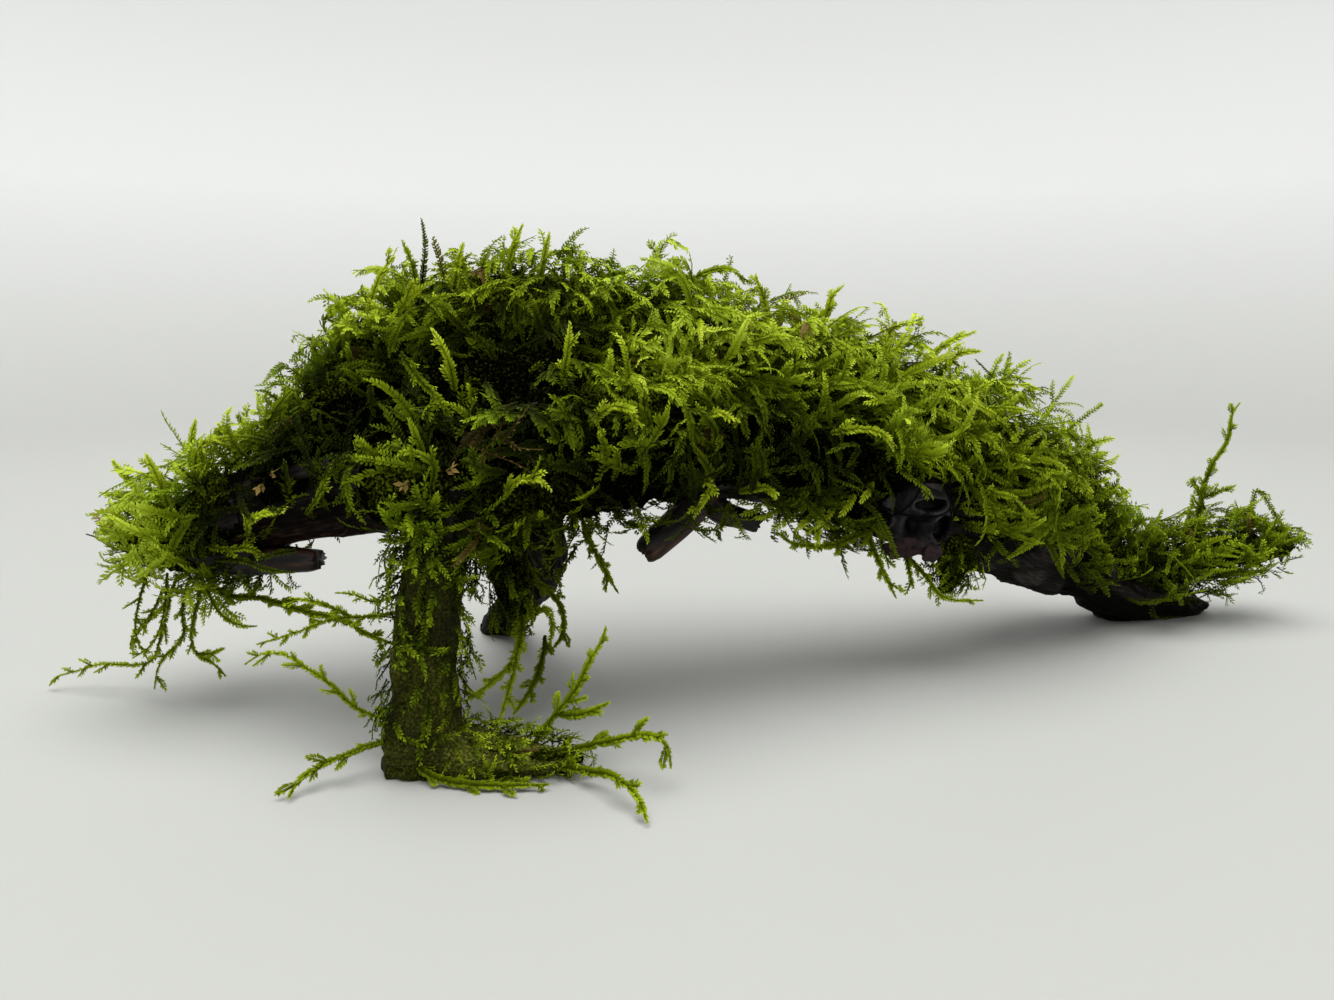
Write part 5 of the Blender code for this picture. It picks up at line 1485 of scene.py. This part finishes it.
# Long shoots
# The longest shoots stand or trail out of the cushions by themselves. Those that hung in water are plump
# with small leaves all round a thick stem, and those that stand in the air are flat bright feathers.
FIRST_SEED = 500
LONG_SHOOTS = {        # kind, then the stem from its root to its tip and any side shoots
    "trailing_left": ("trailing", [[
        (-93.5, -7, 22), (-94.8, -7, 19.3), (-96, -7, 15.2), (-97.8, -6, 11.2), (-100, -5, 6.9),
        (-103.9, -4, 5.5), (-110, -3, 5.3), (-115.4, -2, 3.6), (-118.9, -2, 2.5), (-120.4, -1.6, 0.9)]]),
    "trailing_left_inner": ("trailing", [[
        (-91.5, -8, 21), (-92.6, -8.2, 16.5), (-92.4, -9, 12.2), (-94.7, -9.4, 9.9), (-96.8, -9.4, 7.4),
        (-97.9, -9.4, 3.4)]]),
    "hanging_left": ("trailing", [
        [(-88.5, -8.6, 22), (-89.7, -9.6, 17), (-90.4, -10.6, 13), (-89.6, -11, 10), (-86.9, -11, 8.3),
         (-85.2, -11, 6.2)],
        [(-89.7, -11, 10), (-87, -12.2, 10.4), (-84.1, -13, 11.7)]]),
    "hanging_left_outer": ("trailing", [[
        (-96.4, -6, 20), (-98.6, -5.6, 16), (-101.2, -5, 13), (-102.9, -5, 11.2), (-103.7, -5, 8.8)]]),
    "under_limb_long": ("olive", [[
        (-87, -9.4, 22), (-84.6, -10, 19.7), (-78.9, -11, 19.6), (-73.8, -13, 19), (-69.5, -15, 18.4),
        (-62.5, -19, 18.4), (-57.6, -23, 17.4), (-52, -27, 17)]]),
    "leg_left_upper": ("trailing", [
        [(-50, -27, 22.4), (-55.7, -25, 20.9), (-62.8, -22.4, 19.6), (-69.7, -20, 16.6),
         (-76.5, -18, 14.1)],
        [(-60, -23.4, 20.4), (-64, -24, 22.6), (-68.4, -24, 23.4)]]),
    "leg_left_lower": ("trailing", [[
        (-51, -29.6, 6.4), (-55.6, -29, 7), (-59.1, -28, 8.3), (-62.1, -27, 10.9), (-65.8, -26, 13),
        (-69.6, -25, 15), (-73.2, -24.4, 14.8), (-76, -24, 13)]]),
    "foot_left": ("olive", [[
        (-50, -32.6, 4.6), (-53.3, -34, 5.1), (-56.7, -36, 4.5), (-59.5, -37, 3.7), (-61.8, -38.5, 2.9),
        (-63.2, -40, 1.9), (-63.6, -42, 0.9)]]),
    "foot_right_arching": ("water", [[
        (-29, -32.4, 1.9), (-24.9, -34, 4.2), (-21.2, -36, 6), (-16.2, -38, 8), (-13.7, -39, 8),
        (-12.4, -39, 6.5), (-12, -39.2, 4)]]),
    "foot_right_low": ("water", [[
        (-28.6, -34, 1.6), (-23.2, -38, 2.6), (-20.2, -41, 3.6), (-17.4, -44, 3.2), (-15.8, -46.4, 2.1),
        (-15.1, -48.6, 0.9)]]),
    "foot_right_upright": ("water", [
        [(-32, -33, 3.6), (-28.6, -32, 8.3), (-25.7, -31, 11.7), (-23.6, -30, 15.9), (-22.2, -29, 17.8),
         (-21.4, -28, 20)],
        [(-28.4, -32, 8.6), (-24.9, -33, 8.8), (-20.8, -34, 11)]]),
    "foot_front": ("olive", [[
        (-49, -35, 3), (-45.2, -37.2, 1.4), (-40, -38.6, 1), (-34.5, -39, 1), (-29, -38.8, 1)]]),
    "curl_behind_leg": ("olive", [[
        (-36.6, -3, 24), (-34.9, -2, 20), (-32.2, -2, 17.5), (-30.3, -3, 14.6), (-30.3, -5, 11.2),
        (-31.6, -7, 9.6)]]),
    "stem_behind_leg": ("pale", [[
        (-36, -8, 19), (-36.6, -10, 13.4), (-37.4, -13, 9.6), (-40.4, -18, 7.6), (-43.6, -22.4, 6.4)]]),
    "strand_behind_leg": ("olive", [[
        (-33, -6.4, 11.6), (-33, -9, 9.2), (-33.6, -13, 7), (-34.8, -18.4, 5.4), (-35.9, -23.6, 4.9)]]),
    "hanging_under_arch": ("olive", [[
        (-26.6, -6, 32), (-25.3, -6, 27.7), (-24, -6, 25.2), (-22.3, -6.4, 22), (-20.7, -6.4, 19.1)]]),
    "under_arch": ("water", [[
        (29, 6, 27), (25, 5, 28), (21.2, 3, 26.8), (15.3, -1, 25.8), (9.1, -3, 26.6), (6.1, -2.4, 28.4)]]),
    "knot_hanging": ("water", [[
        (22, 5, 29), (22.7, 4, 26.5), (24.1, 3, 23.1), (25.6, 2, 19.8), (27.4, 1, 16.1)]]),
    "knot_trailing": ("trailing", [[
        (30.6, 7, 24), (31, 7, 21.6), (33.4, 5, 19), (36.4, 3, 15.4), (43.7, 4, 14.6)]]),
    "right_upright": ("green", [
        [(97.8, 37, 19), (98, 36, 26), (98.5, 36, 30.7), (99.8, 36, 34.5), (102.7, 37, 38.9), (103, 37, 44),
         (104.9, 38, 46.4)],
        [(98.2, 36, 27), (96.6, 35, 29), (94.8, 35, 31)],
        [(98.6, 36, 27), (101.6, 35.6, 28.6), (104.4, 35.6, 29.6)]]),
    "right_tip": ("feather", [[(108, 38.5, 21), (112.6, 38.6, 20.6), (117, 39, 19.2), (120.4, 39, 17.2)]]),
    "crown_tall_left": ("feather", [[
        (-59.4, -2, 57), (-59.8, -4.6, 61), (-59.7, -6, 64.4), (-58.9, -6, 67.8), (-57, -7, 71.2),
        (-55.1, -7, 73.4)]]),
    "crown_thin": ("dark", [[(-52.6, -1, 66), (-51.8, -2, 71), (-51.2, -2, 75.6), (-51.6, -2, 79.4)]]),
    "crown_tip": ("feather", [[(-39.4, 2, 68), (-38.2, 0, 72.6), (-37, -1, 76), (-35.8, -1, 78.6)]]),
    "crown_arching": ("green", [[
        (-14, 5, 64), (-11.2, 3, 68), (-8.2, 2, 70.4), (-5.1, 1, 71.8), (-1.8, 0, 71.8), (0.1, 0, 69.6)]]),
    "crown_stout": ("feather", [[(6.4, 7, 58), (5.2, 6, 62.6), (4, 5, 66.4), (2.4, 5, 70.9)]]),
    "crown_right_curl": ("feather", [[
        (14, 10, 57), (14.4, 9, 62), (15.2, 8, 65.4), (15.9, 8, 67.8), (17.6, 8, 69.3)]]),
    "slope_flag": ("feather", [[(31, 14, 50), (33.4, 12.4, 55.6), (36.4, 11, 59.4), (41.6, 11, 61.5)]]),
    "slope_long_dark": ("dark", [[
        (58, 24, 38), (54.6, 21.6, 45.4), (50.6, 19, 50), (47, 17.4, 53.4), (43.9, 17, 56.3)]]),
    "left_upright": ("feather", [[
        (-88.4, -8, 36), (-88.2, -9.4, 41), (-87.8, -10, 45), (-86.8, -10, 48.2)]]),
    "left_twig": ("twig", [[(-96, -6.2, 27.4), (-101, -6, 27), (-104.8, -6, 27.9), (-108.4, -6, 29)]]),
}

for number, (name, (kind, routes)) in enumerate(LONG_SHOOTS.items()):
    stems = [stem for route in routes for stem in plume(kind, route)]
    shoot = dress("shoot_" + name + "_leafy", stems, FIRST_SEED + number, spacing=KINDS[kind][4])
    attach(shoot, "root")
    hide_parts("shoot_" + name)
bpy.data.objects.remove(leaf)
